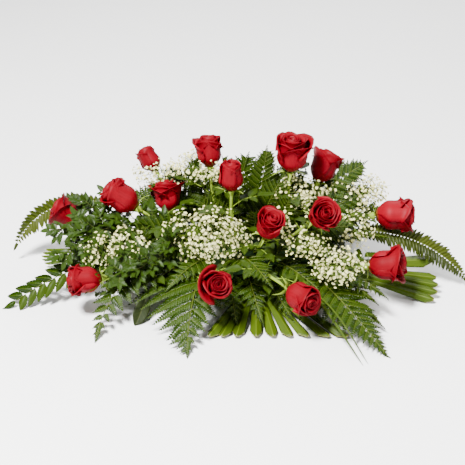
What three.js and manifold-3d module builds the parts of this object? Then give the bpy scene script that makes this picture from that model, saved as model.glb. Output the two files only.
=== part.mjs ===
// A funeral rose arrangement: fifteen red roses, baby's breath, ferns, cut palm and leafy stems,
// all standing in a block of wet foam in a low plastic tray.
// Millimetres. +Z is up, +X is the arrangement's right and +Y its back.
// The origin is the middle of the tray's underside, on the surface that the tray stands on.
import * as THREE from "three";
import { mergeVertices } from "three/addons/utils/BufferGeometryUtils.js";
import Module from "manifold-3d";

const wasm = await Module();
wasm.setup();

// Holder
const TRAY = { halfX: 142, halfY: 78, height: 30, floor: 2, square: 6, sides: 8 };
const FOAM = { halfX: 115, halfY: 55, top: 82 };

// Clearances between pieces: at rest, and round a piece that is being routed past others
const GAP = 0.35;
const ROOM = 0.5;

// How far a stem stands in the foam, how near the foam's sides and within what heights its root
// may be, and where its leaves may begin
const IN_FOAM = 26;
const ROOT_MARGIN = 10;
const ROOT_HEIGHTS = [30, FOAM.top - 18];
const OUT_OF_FOAM = 42;

// The play of a hole in the foam round a straight stem and round one that bends inside it
const STRAIGHT_PLAY = 0.8;
const BENT_PLAY = 1.6;
const DEEPER = 0.6;

// The search for a clear route: its tries, and how many of them shift a point by one more mm
const ROUTE_TRIES = 300;
const TRIES_PER_MM = 10;

// Rose
const BLOOM_HEIGHT = 60;
const PETAL_THICK = 1.1;
const PETAL_ROWS = [0, 0.36, 0.8, 1];
const ROSE_STEM = 2.7;
const HIP = { radius: 6.2, depth: 11 };
const SEPAL = { count: 5, length: 27 };

// Greenery
const RIB = 1.3;
const RIB_STEP = 30;
const BLADE = 0.35;
const LOWEST = 1.8;
const PALM_THICK = 1;
const PALM_STEM = 2;
const GRASS = 1.4;

// A leaflet is tried this much longer, wider and thicker than it is made
const TRIED = { longer: 1.5, wider: 1.15, half: 0.9 };

// Baby's breath
const FLORET = { radius: 3.4, deep: 4 };
const TWIG = 0.55;
const TRUNK = 1.5;
const TRUNK_PLAY = 2.1;
const LIMB = 0.95;
const TWIG_REACH = [9, 40];

const UP = new THREE.Vector3(0, 0, 1);
const vec = (p) => new THREE.Vector3(p[0], p[1], p[2]);
const rad = THREE.MathUtils.degToRad;
const { clamp } = THREE.MathUtils;
const lineThrough = ([a, b]) => new THREE.LineCurve3(a, b);
const bezierThrough = (points) => new THREE.CubicBezierCurve3(...points);

function random(seed) {
  let state = seed * 7919 + 17;
  return () => {
    state = (state * 16807) % 2147483647;
    return state / 2147483647;
  };
}

// Solids from three.js geometry

function solidOf(geometry) {
  const bare = geometry.clone();
  bare.deleteAttribute("normal");
  bare.deleteAttribute("uv");
  const merged = mergeVertices(bare, 1e-3);
  const corners = merged.index.array;
  const kept = [];
  for (let i = 0; i < corners.length; i += 3) {
    const [a, b, c] = corners.slice(i, i + 3);
    if (a !== b && b !== c && a !== c) kept.push(a, b, c);
  }
  const make = (triangles) =>
    new wasm.Manifold(
      new wasm.Mesh({
        numProp: 3,
        vertProperties: new Float32Array(merged.attributes.position.array),
        triVerts: new Uint32Array(triangles),
      }),
    );
  const made = make(kept);
  return made.volume() < 0 ? make(kept.reverse()) : made;
}

function indexed(points, index) {
  const geometry = new THREE.BufferGeometry();
  geometry.setAttribute("position", new THREE.Float32BufferAttribute(points, 3));
  geometry.setIndex(index);
  return geometry;
}

// Everything fused that touches, without its slivers and without scraps that came loose.
function fused(solids) {
  const all = wasm.Manifold.union(solids).asOriginal().simplify(0.1);
  return all.decompose().reduce((a, b) => (a.volume() > b.volume() ? a : b));
}

// A closed thin slab from flat triangles. place(point, side) sets each flat point in space, with
// side 1 on the upper face and -1 on the lower one.
function slab(triangles, place) {
  const ids = new Map();
  const flat = [];
  const idOf = (point) => {
    const key = point.map((x) => x.toFixed(3)).join(" ");
    if (!ids.has(key)) {
      ids.set(key, flat.length);
      flat.push(point);
    }
    return ids.get(key);
  };
  const turned = ([p, q, r]) => (q[0] - p[0]) * (r[1] - p[1]) < (q[1] - p[1]) * (r[0] - p[0]);
  const faces = triangles.map((t) => (turned(t) ? [t[0], t[2], t[1]] : t).map(idOf));
  const edges = faces.flatMap(([a, b, c]) => [[a, b], [b, c], [c, a]]);
  const known = new Set(edges.map(([a, b]) => a + " " + b));
  const rim = edges.filter(([a, b]) => !known.has(b + " " + a));
  const under = flat.length;
  const points = [1, -1].flatMap((side) => flat.flatMap((p) => place(p, side).toArray()));
  const index = [
    ...faces.flat(),
    ...faces.flatMap(([a, b, c]) => [a + under, c + under, b + under]),
    ...rim.flatMap(([a, b]) => [a, a + under, b + under, a, b + under, b]),
  ];
  return solidOf(indexed(points, index));
}

// The triangles between two rows of flat points, and on to a tip if there is one.
function ladder(lower, upper, tip) {
  const rungs = lower.slice(1).flatMap((p, k) => [
    [lower[k], p, upper[k + 1]],
    [lower[k], upper[k + 1], upper[k]],
  ]);
  return tip ? [...rungs, [lower.at(-1), tip, upper.at(-1)]] : rungs;
}

// A sheet of even thickness over a grid of u and v. middle(u, v) is its middle surface.
function sheet(us, vs, thick, middle) {
  const corner = (i, j) => [us[i], vs[j]];
  const cells = [];
  for (let i = 1; i < us.length; i++)
    for (let j = 1; j < vs.length; j++)
      cells.push(...ladder([corner(i - 1, j - 1), corner(i, j - 1)], [corner(i - 1, j), corner(i, j)]));
  return slab(cells, ([u, v], side) => {
    const across = middle(u + 0.01, v).sub(middle(u - 0.01, v));
    const along = middle(u, v + 0.01).sub(middle(u, v - 0.01));
    const out = across.cross(along).normalize();
    return middle(u, v).addScaledVector(out, (side * thick) / 2);
  });
}

function stalk(curve, radius, sides, steps) {
  const corner = (k) => {
    const turn = (2 * Math.PI * k) / sides;
    return new THREE.Vector2(radius * Math.cos(turn), radius * Math.sin(turn));
  };
  const section = new THREE.Shape(Array.from({ length: sides }, (_, k) => corner(k)));
  return solidOf(
    new THREE.ExtrudeGeometry(section, { steps, bevelEnabled: false, extrudePath: curve }),
  );
}

// A turned body whose profile of [radius, distance] runs from start towards end.
function turnedBody(profile, sides, start, end) {
  const geometry = new THREE.LatheGeometry(
    profile.map(([r, h]) => new THREE.Vector2(r, h)),
    sides,
  );
  const aim = vec(end).sub(vec(start)).normalize();
  geometry.applyQuaternion(new THREE.Quaternion().setFromUnitVectors(vec([0, 1, 0]), aim));
  geometry.translate(...start);
  return solidOf(geometry);
}

// What is already in place, so that what comes later is bent or cut clear of it

const arrangement = new THREE.Group();
const placed = [];
const holes = [];

function take(name, solid) {
  placed.push({ name, solid, box: solid.boundingBox() });
}

function add(name, solid, material) {
  const mesh = solid.getMesh();
  const geometry = indexed([...mesh.vertProperties], [...mesh.triVerts]);
  geometry.computeVertexNormals();
  const made = new THREE.Mesh(geometry, material);
  made.name = name;
  arrangement.add(made);
  take(name, solid);
}

// Whether a solid keeps clear of all that is in place, but for the one piece that it may enter.
function clear(solid, mayEnter = "") {
  const box = solid.boundingBox();
  return placed.every((other) => {
    if (other.name === mayEnter) return true;
    const apart = [0, 1, 2].some(
      (k) => box.min[k] > other.box.max[k] || other.box.min[k] > box.max[k],
    );
    return apart || solid.intersect(other.solid).volume() < 1e-4;
  });
}

// A route through the given points, with all but the last shifted step by step until a stalk
// along it clears every piece in place. The first point is the root in the foam.
function routed(points, curveOf, radius, seed) {
  const draw = random(seed);
  for (let tries = 0; tries < ROUTE_TRIES; tries++) {
    const reach = tries / TRIES_PER_MM;
    const shifted = points.map((p, k) => {
      if (k === points.length - 1) return vec(p);
      return vec(p).add(vec([draw() - 0.5, draw() - 0.5, draw() - 0.5]).multiplyScalar(reach));
    });
    const root = shifted[0];
    root.x = clamp(root.x, ROOT_MARGIN - FOAM.halfX, FOAM.halfX - ROOT_MARGIN);
    root.y = clamp(root.y, ROOT_MARGIN - FOAM.halfY, FOAM.halfY - ROOT_MARGIN);
    root.z = clamp(root.z, ...ROOT_HEIGHTS);
    const curve = curveOf(shifted);
    if (clear(stalk(curve, radius + ROOM, 4, 12), "foam")) return curve;
  }
  throw new Error("no clear route from " + points[0]);
}

// The hole that a stem stands in: a little wider, and a little deeper than the stem's end.
function bore(curve, radius, sides, steps) {
  const back = curve.getTangent(0).multiplyScalar(-DEEPER);
  holes.push(stalk(curve, radius, sides, steps).translate(back.toArray()));
}

const finish = (color, roughness) =>
  new THREE.MeshStandardMaterial({ color, roughness, metalness: 0 });
const PLASTIC = finish(0x1d2a1c, 0.45);
const WET_FOAM = finish(0x2c4a2a, 0.95);
const RED_PETAL = finish(0xc00a18, 0.55);
const ROSE_GREEN = finish(0x6f9a3a, 0.6);
const FERN_GREEN = finish(0x2c6a1a, 0.45);
const PALM_GREEN = finish(0x5d8426, 0.5);
const LEAF_GREEN = finish(0x2a5c30, 0.35);
const WHITE_FLORET = finish(0xf4f1dc, 0.8);

// Tray and the room that the foam takes; the foam goes in last, with every stem's hole in it

function tray() {
  const floor = TRAY.floor / TRAY.height;
  const profile = [
    [0, 0], [0.92, 0], [1, 1], [1.04, 1], [1.04, 1.07], [0.975, 1.07], [0.93, floor], [0, floor],
  ];
  const geometry = new THREE.LatheGeometry(
    profile.map(([r, h]) => new THREE.Vector2(r, h * TRAY.height)),
    TRAY.sides,
  );
  geometry.rotateX(Math.PI / 2);
  const position = geometry.attributes.position;
  for (let i = 0; i < position.count; i++) {
    const r = Math.hypot(position.getX(i), position.getY(i));
    if (r < 1e-6) continue;
    const [c, s] = [position.getX(i) / r, position.getY(i) / r];
    const n = TRAY.square;
    const reach = r / (Math.abs(c) ** n + Math.abs(s) ** n) ** (1 / n);
    position.setX(i, reach * c * TRAY.halfX);
    position.setY(i, reach * s * TRAY.halfY);
  }
  return solidOf(geometry);
}

function foamBlock(grow) {
  const bottom = TRAY.floor + GAP;
  const [x, y, z] = [FOAM.halfX + grow, FOAM.halfY + grow, FOAM.top + grow - bottom];
  const block = new THREE.BoxGeometry(2 * x, 2 * y, z);
  block.translate(0, 0, bottom + z / 2);
  return solidOf(block);
}

add("tray", tray(), PLASTIC);
take("foam", foamBlock(ROOM));

// Each rose: the middle of its bloom, the bearing and rise of its axis in degrees, its size,
// how far it has opened from 0 (bud) to 1, and the turn of its petals about the axis.
const ROSES = [
  { at: [-165, 90, 194], bearing: 150, rise: 55, size: 0.82, open: 0.35, turn: 20 },
  { at: [-58, 60, 222], bearing: 110, rise: 78, size: 0.92, open: 0.5, turn: 75 },
  { at: [-20, -38, 219], bearing: -90, rise: 86, size: 0.9, open: 0.05, turn: 40 },
  { at: [81, 0, 243], bearing: -70, rise: 80, size: 1.1, open: 0.8, turn: 200 },
  { at: [142, 55, 195], bearing: 40, rise: 55, size: 0.98, open: 0.5, turn: 110 },
  { at: [-208, -15, 169], bearing: 182, rise: 37, size: 1.08, open: 0.35, turn: 0 },
  { at: [-131, 30, 150], bearing: 120, rise: 72, size: 0.92, open: 0.7, turn: 150 },
  { at: [-306, 25, 119], bearing: 172, rise: 30, size: 0.95, open: 0.7, turn: 60 },
  { at: [42, -110, 164], bearing: -65, rise: 58, size: 0.9, open: 0.4, turn: 260 },
  { at: [128, -95, 174], bearing: -72, rise: 36, size: 0.94, open: 0.55, turn: 300 },
  { at: [262, 0, 128], bearing: -4, rise: 5, size: 1.14, open: 0.45, turn: 90 },
  { at: [239, -100, 85], bearing: -14, rise: 13, size: 1.06, open: 0.7, turn: 20 },
  { at: [-262, -120, 68], bearing: 198, rise: 4, size: 0.95, open: 0.5, turn: 130 },
  { at: [-45, -190, 100], bearing: -80, rise: 26, size: 0.92, open: 0.85, turn: 10 },
  { at: [91, -200, 82], bearing: -52, rise: -2, size: 1.0, open: 0.6, turn: 230 },
];

// A bloom is one sheet scrolled from the heart outwards. Its petals, from the inside: how far
// each runs round the axis in degrees, its height, the depth of the notch beside it, its flare.
const PETALS = [
  { span: 175, height: 50, notch: 0.05, flare: 0, cells: 2 },
  { span: 165, height: 55, notch: 0.1, flare: 0, cells: 3 },
  { span: 145, height: 58, notch: 0.2, flare: 0.5, cells: 3 },
  { span: 140, height: 57, notch: 0.25, flare: 0.8, cells: 3 },
  { span: 130, height: 55, notch: 0.38, flare: 1, cells: 3 },
  { span: 126, height: 54, notch: 0.4, flare: 1.1, cells: 3 },
  { span: 122, height: 52, notch: 0.4, flare: 1.2, cells: 4 },
];
const FULL_TURN = PETALS.reduce((sum, petal) => sum + petal.span, 0);

// A point of the scroll in the bloom's own frame: s counts petals, v runs from root to lip.
function petalPoint(rose, s, v) {
  const which = clamp(Math.floor(s), 0, PETALS.length - 1);
  const petal = PETALS[which];
  const before = PETALS.slice(0, which).reduce((sum, p) => sum + p.span, 0);
  const turned = before + petal.span * (s - which);
  const share = Math.max(0, turned / FULL_TURN);
  const edge = Math.abs(2 * (s - which) - 1) ** 3;
  const root = 2 + 5.6 * share;
  const full = 3 + 21 * share ** 0.95;
  const swell = Math.sin((Math.PI / 2) * Math.min(1, v / 0.4));
  const rise = Math.max(0, (v - 0.4) / 0.6);
  const tuck = full * (0.34 - 0.42 * rose.open * share) * rise;
  const flare = petal.flare * (1.5 + 7 * rose.open) * rise ** 2.5 * (1 - 0.6 * edge);
  const radius = root + (full - root) * swell - tuck + flare;
  const roll = petal.flare * (0.5 + 3 * rose.open) * rise ** 4;
  const height = 0.4 + petal.height * v * (1 - petal.notch * edge) - roll;
  const turn = rad(turned + rose.turn);
  return vec([radius * Math.cos(turn), radius * Math.sin(turn), height]).multiplyScalar(rose.size);
}

function roseFrame(rose) {
  const [b, e] = [rad(rose.bearing), rad(rose.rise)];
  const axis = vec([Math.cos(e) * Math.cos(b), Math.cos(e) * Math.sin(b), Math.sin(e)]);
  const base = vec(rose.at).addScaledVector(axis, (-BLOOM_HEIGHT / 2) * rose.size);
  const turn = new THREE.Quaternion().setFromUnitVectors(UP, axis);
  return { axis, base, matrix: new THREE.Matrix4().compose(base, turn, vec([1, 1, 1])) };
}

function bloom(rose) {
  const columns = PETALS.flatMap((petal, which) =>
    Array.from({ length: petal.cells }, (_, k) => which + k / petal.cells),
  );
  columns.push(PETALS.length);
  const scroll = sheet(columns, PETAL_ROWS, PETAL_THICK, (s, v) => petalPoint(rose, s, v));
  return scroll.transform(roseFrame(rose).matrix.toArray());
}

// The hip under a bloom with its sepals: a turned body with every other corner of its widest
// ring drawn out into a sepal.
function calyx(rose) {
  const rings = [
    [0, -HIP.depth], [2.6, -HIP.depth], [HIP.radius * 0.85, -5], [HIP.radius, -2.6],
    [HIP.radius * 0.8, -GAP], [0, -GAP],
  ];
  const geometry = new THREE.LatheGeometry(
    rings.map(([r, h]) => new THREE.Vector2(r, h)),
    2 * SEPAL.count,
    rad(rose.turn),
  );
  geometry.rotateX(Math.PI / 2);
  const position = geometry.attributes.position;
  const out = 1 + SEPAL.length / HIP.radius;
  for (let i = 0; i < position.count; i++) {
    const [ring, column] = [i % rings.length, Math.floor(i / rings.length)];
    if (ring !== 3 || column % 2) continue;
    position.setX(i, position.getX(i) * out);
    position.setY(i, position.getY(i) * out);
    position.setZ(i, -4 + SEPAL.length * (0.25 - 0.7 * rose.open));
  }
  const size = [rose.size, rose.size, rose.size];
  return solidOf(geometry).scale(size).transform(roseFrame(rose).matrix.toArray());
}

// Where a stem that comes from a point outside the foam ends inside it.
function seat(from) {
  const towards = vec([0.28 * from.x, 0.12 * from.y, 46]);
  const step = towards.sub(from).normalize();
  const point = from.clone();
  const outside = () =>
    Math.abs(point.x) > FOAM.halfX || Math.abs(point.y) > FOAM.halfY || point.z > FOAM.top;
  while (outside()) point.add(step);
  return point.addScaledVector(step, IN_FOAM);
}

function roseStem(rose, seed) {
  const { axis, base } = roseFrame(rose);
  const hipEnd = base.clone().addScaledVector(axis, -HIP.depth * rose.size);
  const root = seat(hipEnd);
  const bend = hipEnd.clone().addScaledVector(axis, -0.3 * hipEnd.distanceTo(root));
  const route = [root.toArray(), root.clone().lerp(bend, 0.5).toArray(), bend.toArray()];
  const top = hipEnd.clone().addScaledVector(axis, 3);
  const curve = routed(route, (points) => new THREE.CatmullRomCurve3([...points, top]), ROSE_STEM, seed);
  bore(curve, ROSE_STEM + STRAIGHT_PLAY, 4, 4);
  return fused([stalk(curve, ROSE_STEM, 4, 4), calyx(rose)]);
}

const numbered = (name, i) => name + "_" + String(i + 1).padStart(2, "0");
ROSES.forEach((rose, i) => add(numbered("bloom", i), bloom(rose), RED_PETAL));
ROSES.forEach((rose, i) => add(numbered("rose_stem", i), roseStem(rose, i + 1), ROSE_GREEN));

// Cut palm: straight folded blades that fan out from the end of a leaf stalk, cut off at the tip

function palm({ root, hub, tips, seed, thin = 1.3 }) {
  const centre = vec(hub);
  const stem = routed([root, hub], lineThrough, PALM_STEM, seed);
  const blades = tips.map(({ at, half }) => {
    const along = vec(at).sub(centre);
    const length = along.length();
    along.normalize();
    const across = along.clone().cross(UP).normalize();
    const out = across.clone().cross(along).normalize();
    return sheet([-1, 0, 1], [0, 1], PALM_THICK, (u, v) => {
      const width = thin + (half - thin) * v;
      const point = centre.clone();
      point.addScaledVector(along, 5 + (length - 5 - half * Math.abs(u)) * v);
      point.addScaledVector(across, width * u);
      return point.addScaledVector(out, width * (0.3 - 0.6 * Math.abs(u)));
    });
  });
  const middle = tips[Math.floor(tips.length / 2)].at;
  const knob = turnedBody([[0, -9], [3.2, -7], [4.4, 2], [2.4, 8], [0, 9]], 5, hub, middle);
  bore(stem, PALM_STEM + STRAIGHT_PLAY, 4, 1);
  return fused([stalk(stem, PALM_STEM, 4, 1), knob, ...blades.filter((blade) => clear(blade))]);
}

const FAN_TIPS = [-56, -36, -12, 20, 48, 76, 104, 138, 168];
add("palm_front", palm({
  root: [22, -30, 40], hub: [22, -70, 40], seed: 21,
  tips: FAN_TIPS.map((x) => ({ at: [x, -196, 5], half: 8.2 })),
}), PALM_GREEN);
add("palm_left", palm({
  root: [-92, 8, 48], hub: [-132, 22, 50], seed: 22,
  tips: [24, 37, 50, 63, 76].map((y) => ({ at: [-362 + 0.01 * (y - 55) ** 2, y, 20], half: 4.6 })),
}), PALM_GREEN);
add("palm_right", palm({
  root: [92, -4, 36], hub: [134, -12, 38], seed: 23,
  tips: [
    { at: [324, -84, 8], half: 6.5 }, { at: [332, -69, 14], half: 6.5 },
    { at: [335, -54, 20], half: 6.5 }, { at: [334, -38, 25], half: 6.5 },
    { at: [332, -8, 44], half: 11 },
  ],
}), PALM_GREEN);

// Fronds and leafy stems: a blade cut to its rib, bent along the rib's curve

// The edge of a leaflet from its root, as [share of its length, share of its half width].
const EDGES = {
  plain: [[0, 0.7], [0.3, 1]],
  lobed: [[0, 0.6], [0.4, 1], [0.62, 0.45]],
  strap: [[0, 0.8], [0.75, 1]],
  oval: [[0, 0.35], [0.5, 1]],
  broad: [[0, 0.2], [0.3, 0.75], [0.62, 1], [0.88, 0.6]],
};
// The length of a leaflet along the rib, as a share of the longest.
const ENVELOPES = {
  triangle: (x) => 1.02 - 0.9 * x,
  ribbon: (x) => Math.min(1, 0.5 + 2.2 * x, 0.2 + 2.4 * (1 - x)),
  even: (x) => 0.75 + 0.25 * Math.sin(Math.PI * x),
};

function frondBody(frond, seed) {
  const curve = routed(frond.path, bezierThrough, RIB, seed);
  const length = curve.getLength();
  const face = vec(frond.face ?? [0, 0, 1]).normalize();
  const lean = rad(frond.lean);
  const ribHalf = (along) => RIB * (1 - (0.35 * along) / length);
  const start = Math.max(OUT_OF_FOAM, frond.bare * length);
  const pitch = (length - start) / (frond.pairs + 0.5);
  const half = frond.half ?? 0.5 * frond.full * pitch * Math.sin(lean);
  const edge = EDGES[frond.kind];

  const place = ([along, w], side, thick) => {
    const share = clamp(along / length, 0, 1);
    const forward = curve.getTangentAt(share);
    const point = curve.getPointAt(share).addScaledVector(forward, Math.max(0, along - length));
    const across = forward.clone().cross(face).normalize();
    const out = across.clone().cross(forward).normalize();
    point.addScaledVector(across, w).addScaledVector(out, -frond.arch * w * w);
    point.z = Math.max(point.z, LOWEST);
    const onRib = Math.abs(w) < ribHalf(along) + 0.01 && along < length + 0.01;
    return point.addScaledVector(out, side * (thick ?? (onRib ? ribHalf(along) : BLADE)));
  };

  // One leaflet's flat triangles, out from a place on the rib, or on from its end if side is 0.
  const leaflet = (along, side, reach, widest) => {
    const wide = Math.min(widest, 0.45 * reach);
    const spot = (p, q) =>
      side === 0
        ? [length + p, q]
        : [
            along + Math.cos(lean) * p - Math.sin(lean) * q,
            side * (ribHalf(along) + Math.sin(lean) * p + Math.cos(lean) * q),
          ];
    const rooted = (sign) => {
      if (side === 0) return [length, sign * ribHalf(length)];
      const at = along - (sign * edge[0][1] * half) / Math.sin(lean);
      return [at, side * ribHalf(at)];
    };
    const row = (sign) => [
      rooted(sign),
      ...edge.slice(1).map(([p, q]) => spot(p * reach, sign * q * wide)),
    ];
    return ladder(row(1), row(-1), spot(reach, 0));
  };

  const triangles = [];
  const grow = (along, side, full) => {
    const fits = [1, 0.8, 0.6, 0.4, 0.25].find((share) => {
      const tried = leaflet(along, side, full * share + TRIED.longer, half * TRIED.wider);
      return clear(slab(tried, (p, lid) => place(p, lid, TRIED.half)));
    });
    if (fits) triangles.push(...leaflet(along, side, full * fits, half));
  };
  const stations = [0, OUT_OF_FOAM];
  const bareEnd = start - RIB_STEP / 2;
  for (let along = OUT_OF_FOAM + RIB_STEP; along < bareEnd; along += RIB_STEP) stations.push(along);
  for (let i = 0; i < frond.pairs; i++) {
    const along = start + pitch * (i + 0.5);
    const root = (edge[0][1] * half) / Math.sin(lean);
    stations.push(along - root, along + root);
    const full = frond.width * ENVELOPES[frond.shape]((i + 0.5) / frond.pairs);
    for (const side of [-1, 1]) grow(along, side, full);
  }
  stations.push(length);
  grow(length, 0, frond.tip ?? 1.2 * pitch);
  triangles.push(...ladder(
    stations.map((along) => [along, -ribHalf(along)]),
    stations.map((along) => [along, ribHalf(along)]),
  ));
  const leaves = curve.getPointAt(OUT_OF_FOAM / length);
  bore(lineThrough([curve.getPointAt(0), leaves]), RIB + BENT_PLAY, 4, 1);
  return slab(triangles, place);
}

const FERN = { kind: "plain", shape: "triangle", lean: 62, full: 0.9, arch: 0.0015, tip: 11 };
const SWORD = { kind: "strap", shape: "ribbon", lean: 72, full: 0.8, face: [0, -0.3, 1], arch: 0.004 };
const FRONDS = {
  fern_front_left: {
    ...FERN, width: 64, bare: 0.3, pairs: 7,
    path: [[-92, -34, 54], [-135, -85, 90], [-195, -150, 45], [-236, -197, 5]],
  },
  fern_front: {
    ...FERN, kind: "lobed", width: 100, bare: 0.26, pairs: 8,
    path: [[-52, -32, 50], [-62, -105, 86], [-78, -180, 42], [-90, -242, 5]],
  },
  fern_front_right: {
    ...FERN, width: 84, bare: 0.28, pairs: 7,
    path: [[84, -32, 44], [125, -105, 80], [178, -190, 42], [223, -245, 5]],
  },
  fern_right: {
    ...FERN, width: 62, bare: 0.3, pairs: 6,
    path: [[92, -22, 56], [140, -70, 88], [190, -115, 80], [226, -146, 52]],
  },
  fern_middle: {
    ...FERN, face: [0.1, -0.4, 1], width: 60, bare: 0.3, pairs: 6,
    path: [[-6, -32, 62], [-4, -90, 104], [14, -130, 108], [40, -164, 88]],
  },
  fern_top_left: {
    ...FERN, face: [0.1, -1, 0.3], width: 44, bare: 0.36, pairs: 6, arch: 0,
    path: [[22, 14, 56], [24, 18, 130], [32, 16, 190], [40, 12, 240]],
  },
  fern_top_right: {
    ...FERN, face: [-0.2, -1, 0.4], width: 46, bare: 0.36, pairs: 6, arch: 0,
    path: [[72, 26, 58], [112, 30, 140], [165, 38, 180], [205, 42, 203]],
  },
  fern_back_left: {
    ...FERN, width: 86, bare: 0.24, pairs: 6,
    path: [[-72, 32, 52], [-112, 90, 96], [-160, 140, 60], [-202, 186, 7]],
  },
  fern_back: {
    ...FERN, width: 96, bare: 0.24, pairs: 6,
    path: [[2, 32, 52], [6, 95, 105], [10, 160, 62], [16, 212, 7]],
    beside: [
      [[2, 32, 52], [22, 62, 112], [50, 104, 128], [80, 142, 114]],
      [[2, 32, 52], [-12, 68, 114], [-30, 106, 130], [-54, 142, 114]],
    ],
  },
  fern_back_right: {
    ...FERN, width: 86, bare: 0.24, pairs: 6,
    path: [[78, 32, 52], [125, 90, 96], [178, 140, 60], [221, 180, 7]],
  },
  sword_fern_left: {
    ...SWORD, width: 26, bare: 0.4, pairs: 9,
    path: [[-90, 24, 60], [-205, 66, 140], [-350, 92, 150], [-408, 66, 38]],
  },
  sword_fern_right: {
    ...SWORD, width: 27, bare: 0.38, pairs: 9,
    path: [[90, 8, 52], [200, 20, 120], [320, -4, 100], [386, -28, 20]],
  },
  broad_frond_left: {
    kind: "oval", shape: "even", lean: 48, full: 1, face: [0, -0.2, 1], arch: 0.002,
    width: 34, bare: 0.45, pairs: 6, tip: 26,
    path: [[-90, -14, 48], [-200, -45, 96], [-315, -72, 58], [-385, -95, 12]],
  },
};
const MASTIC = { kind: "oval", shape: "even", lean: 52, full: 0.95, arch: 0.006, tip: 20 };
const LEAFY = {
  mastic_left: {
    ...MASTIC, face: [0, -0.5, 1], width: 28, bare: 0.4, pairs: 6,
    path: [[-88, -20, 60], [-150, -26, 114], [-215, -34, 124], [-268, -38, 118]],
  },
  mastic_front_left: {
    ...MASTIC, face: [0, -0.5, 1], width: 27, bare: 0.38, pairs: 6,
    path: [[-78, -36, 62], [-115, -80, 104], [-165, -112, 96], [-206, -128, 78]],
  },
  hanging_leaf: {
    kind: "broad", shape: "even", lean: 60, full: 1, face: [0.3, -0.5, 1], arch: 0.004,
    width: 10, bare: 1, pairs: 0, half: 21, tip: 84,
    path: [[-68, -34, 46], [-100, -70, 66], [-128, -96, 62], [-142, -112, 44]],
  },
};
// Smaller fronds that stand in one hole with another and are fused to it at the foot.
const BESIDE = { width: 50, bare: 0.42, pairs: 3 };

function fernBody({ beside = [], ...frond }, seed) {
  const smaller = beside.map((path) => frondBody({ ...frond, ...BESIDE, path }, seed));
  return fused([frondBody(frond, seed), ...smaller]);
}
Object.entries(FRONDS).forEach(([name, frond], i) => add(name, fernBody(frond, i + 31), FERN_GREEN));
Object.entries(LEAFY).forEach(([name, stem], i) => add(name, frondBody(stem, i + 51), LEAF_GREEN));

// Two long grass blades from one root

function grass() {
  const path = [[54, -34, 60], [96, -130, 96], [150, -215, 30], [184, -274, 3]];
  const first = routed(path, bezierThrough, GRASS, 61);
  const fork = first.getPoint(0.35);
  const end = vec([192, -269, 3]);
  const side = fork.clone().lerp(end, 0.5).add(vec([6, -1, 16]));
  const second = new THREE.QuadraticBezierCurve3(fork, side, end);
  bore(first, GRASS + BENT_PLAY, 4, 7);
  return fused([stalk(first, GRASS, 3, 7), stalk(second, GRASS, 3, 3)]);
}
add("grass", grass(), PALM_GREEN);

// Baby's breath: forked sprays with a floret at the end of every twig

function floret(from, to, grow = 0) {
  const length = to.distanceTo(from);
  const profile = [
    [0, 0], [TWIG + grow, 0], [TWIG + grow, length],
    [FLORET.radius + grow, length + 1.6], [0, length + FLORET.deep + grow],
  ];
  return turnedBody(profile, 3, from.toArray(), to.toArray());
}

function limb(from, to, radius) {
  const length = to.distanceTo(from);
  const profile = [[0, 0], [radius, 0], [radius * 0.75, length], [0, length]];
  return turnedBody(profile, 3, from.toArray(), to.toArray());
}

function spray({ root, fork, middle, spread, forks = 3, each = 4 }, seed) {
  const draw = random(seed);
  const inCloud = () => {
    const [turn, height, far] = [2 * Math.PI * draw(), 2 * draw() - 1, 0.5 + 0.5 * draw()];
    const flat = Math.sqrt(1 - height * height);
    const offset = [flat * Math.cos(turn), flat * Math.sin(turn), height];
    return vec(offset.map((x, k) => middle[k] + x * far * spread[k]));
  };
  // The fork may shift too, so it isn't given as the route's last point.
  const trunk = routed([root, fork, fork], lineThrough, TRUNK, seed);
  const [start, end] = [trunk.v1, trunk.v2];
  const parts = [limb(start, end, TRUNK)];
  const own = [];
  bore(trunk, TRUNK + TRUNK_PLAY, 3, 1);
  for (let tries = 0, made = 0; tries < 200 && made < forks; tries++) {
    const to = end.clone().lerp(inCloud(), 0.72);
    const upwards = to.clone().sub(end).dot(end.clone().sub(start)) > 0;
    if (!upwards || !clear(limb(end, to, LIMB + ROOM))) continue;
    parts.push(limb(end, to, LIMB));
    made++;
    for (let again = 0, grown = 0; again < 90 && grown < each; again++) {
      const from = end.clone().lerp(to, grown ? 0.35 + 0.6 * draw() : 0.97);
      const tip = inCloud();
      const reach = tip.distanceTo(from);
      const test = floret(from, tip, ROOM);
      if (reach < TWIG_REACH[0] || reach > TWIG_REACH[1] || !clear(test)) continue;
      if (own.some((other) => other.intersect(test).volume() > 0.5)) continue;
      own.push(floret(from.clone().lerp(tip, 0.3), tip, ROOM));
      parts.push(floret(from, tip));
      grown++;
    }
  }
  return fused(parts);
}

const SPRAYS = [
  { root: [-66, 30, 60], fork: [-118, 62, 130], middle: [-146, 72, 170], spread: [44, 34, 28] },
  { root: [-40, 38, 60], fork: [-66, 66, 140], middle: [-84, 78, 188], spread: [40, 32, 30] },
  { root: [-98, -30, 54], fork: [-154, -56, 86], middle: [-189, -72, 106], spread: [50, 34, 28] },
  {
    root: [-26, -14, 60], fork: [-42, -46, 96], middle: [-56, -72, 126], spread: [84, 36, 36],
    forks: 4,
  },
  { root: [46, 20, 60], fork: [76, 20, 130], middle: [94, 15, 168], spread: [48, 38, 30] },
  { root: [92, 30, 58], fork: [168, 40, 112], middle: [213, 45, 145], spread: [48, 38, 36] },
  { root: [80, -36, 54], fork: [124, -100, 82], middle: [151, -135, 102], spread: [48, 34, 32] },
  { root: [46, -30, 60], fork: [70, -76, 106], middle: [90, -108, 132], spread: [54, 32, 28] },
];
SPRAYS.forEach((place, i) => add("babys_breath_" + (i + 1), spray(place, i + 71), WHITE_FLORET));

add("foam", holes.reduce((rest, hole) => rest.subtract(hole), foamBlock(0)), WET_FOAM);

export default arrangement;
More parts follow.
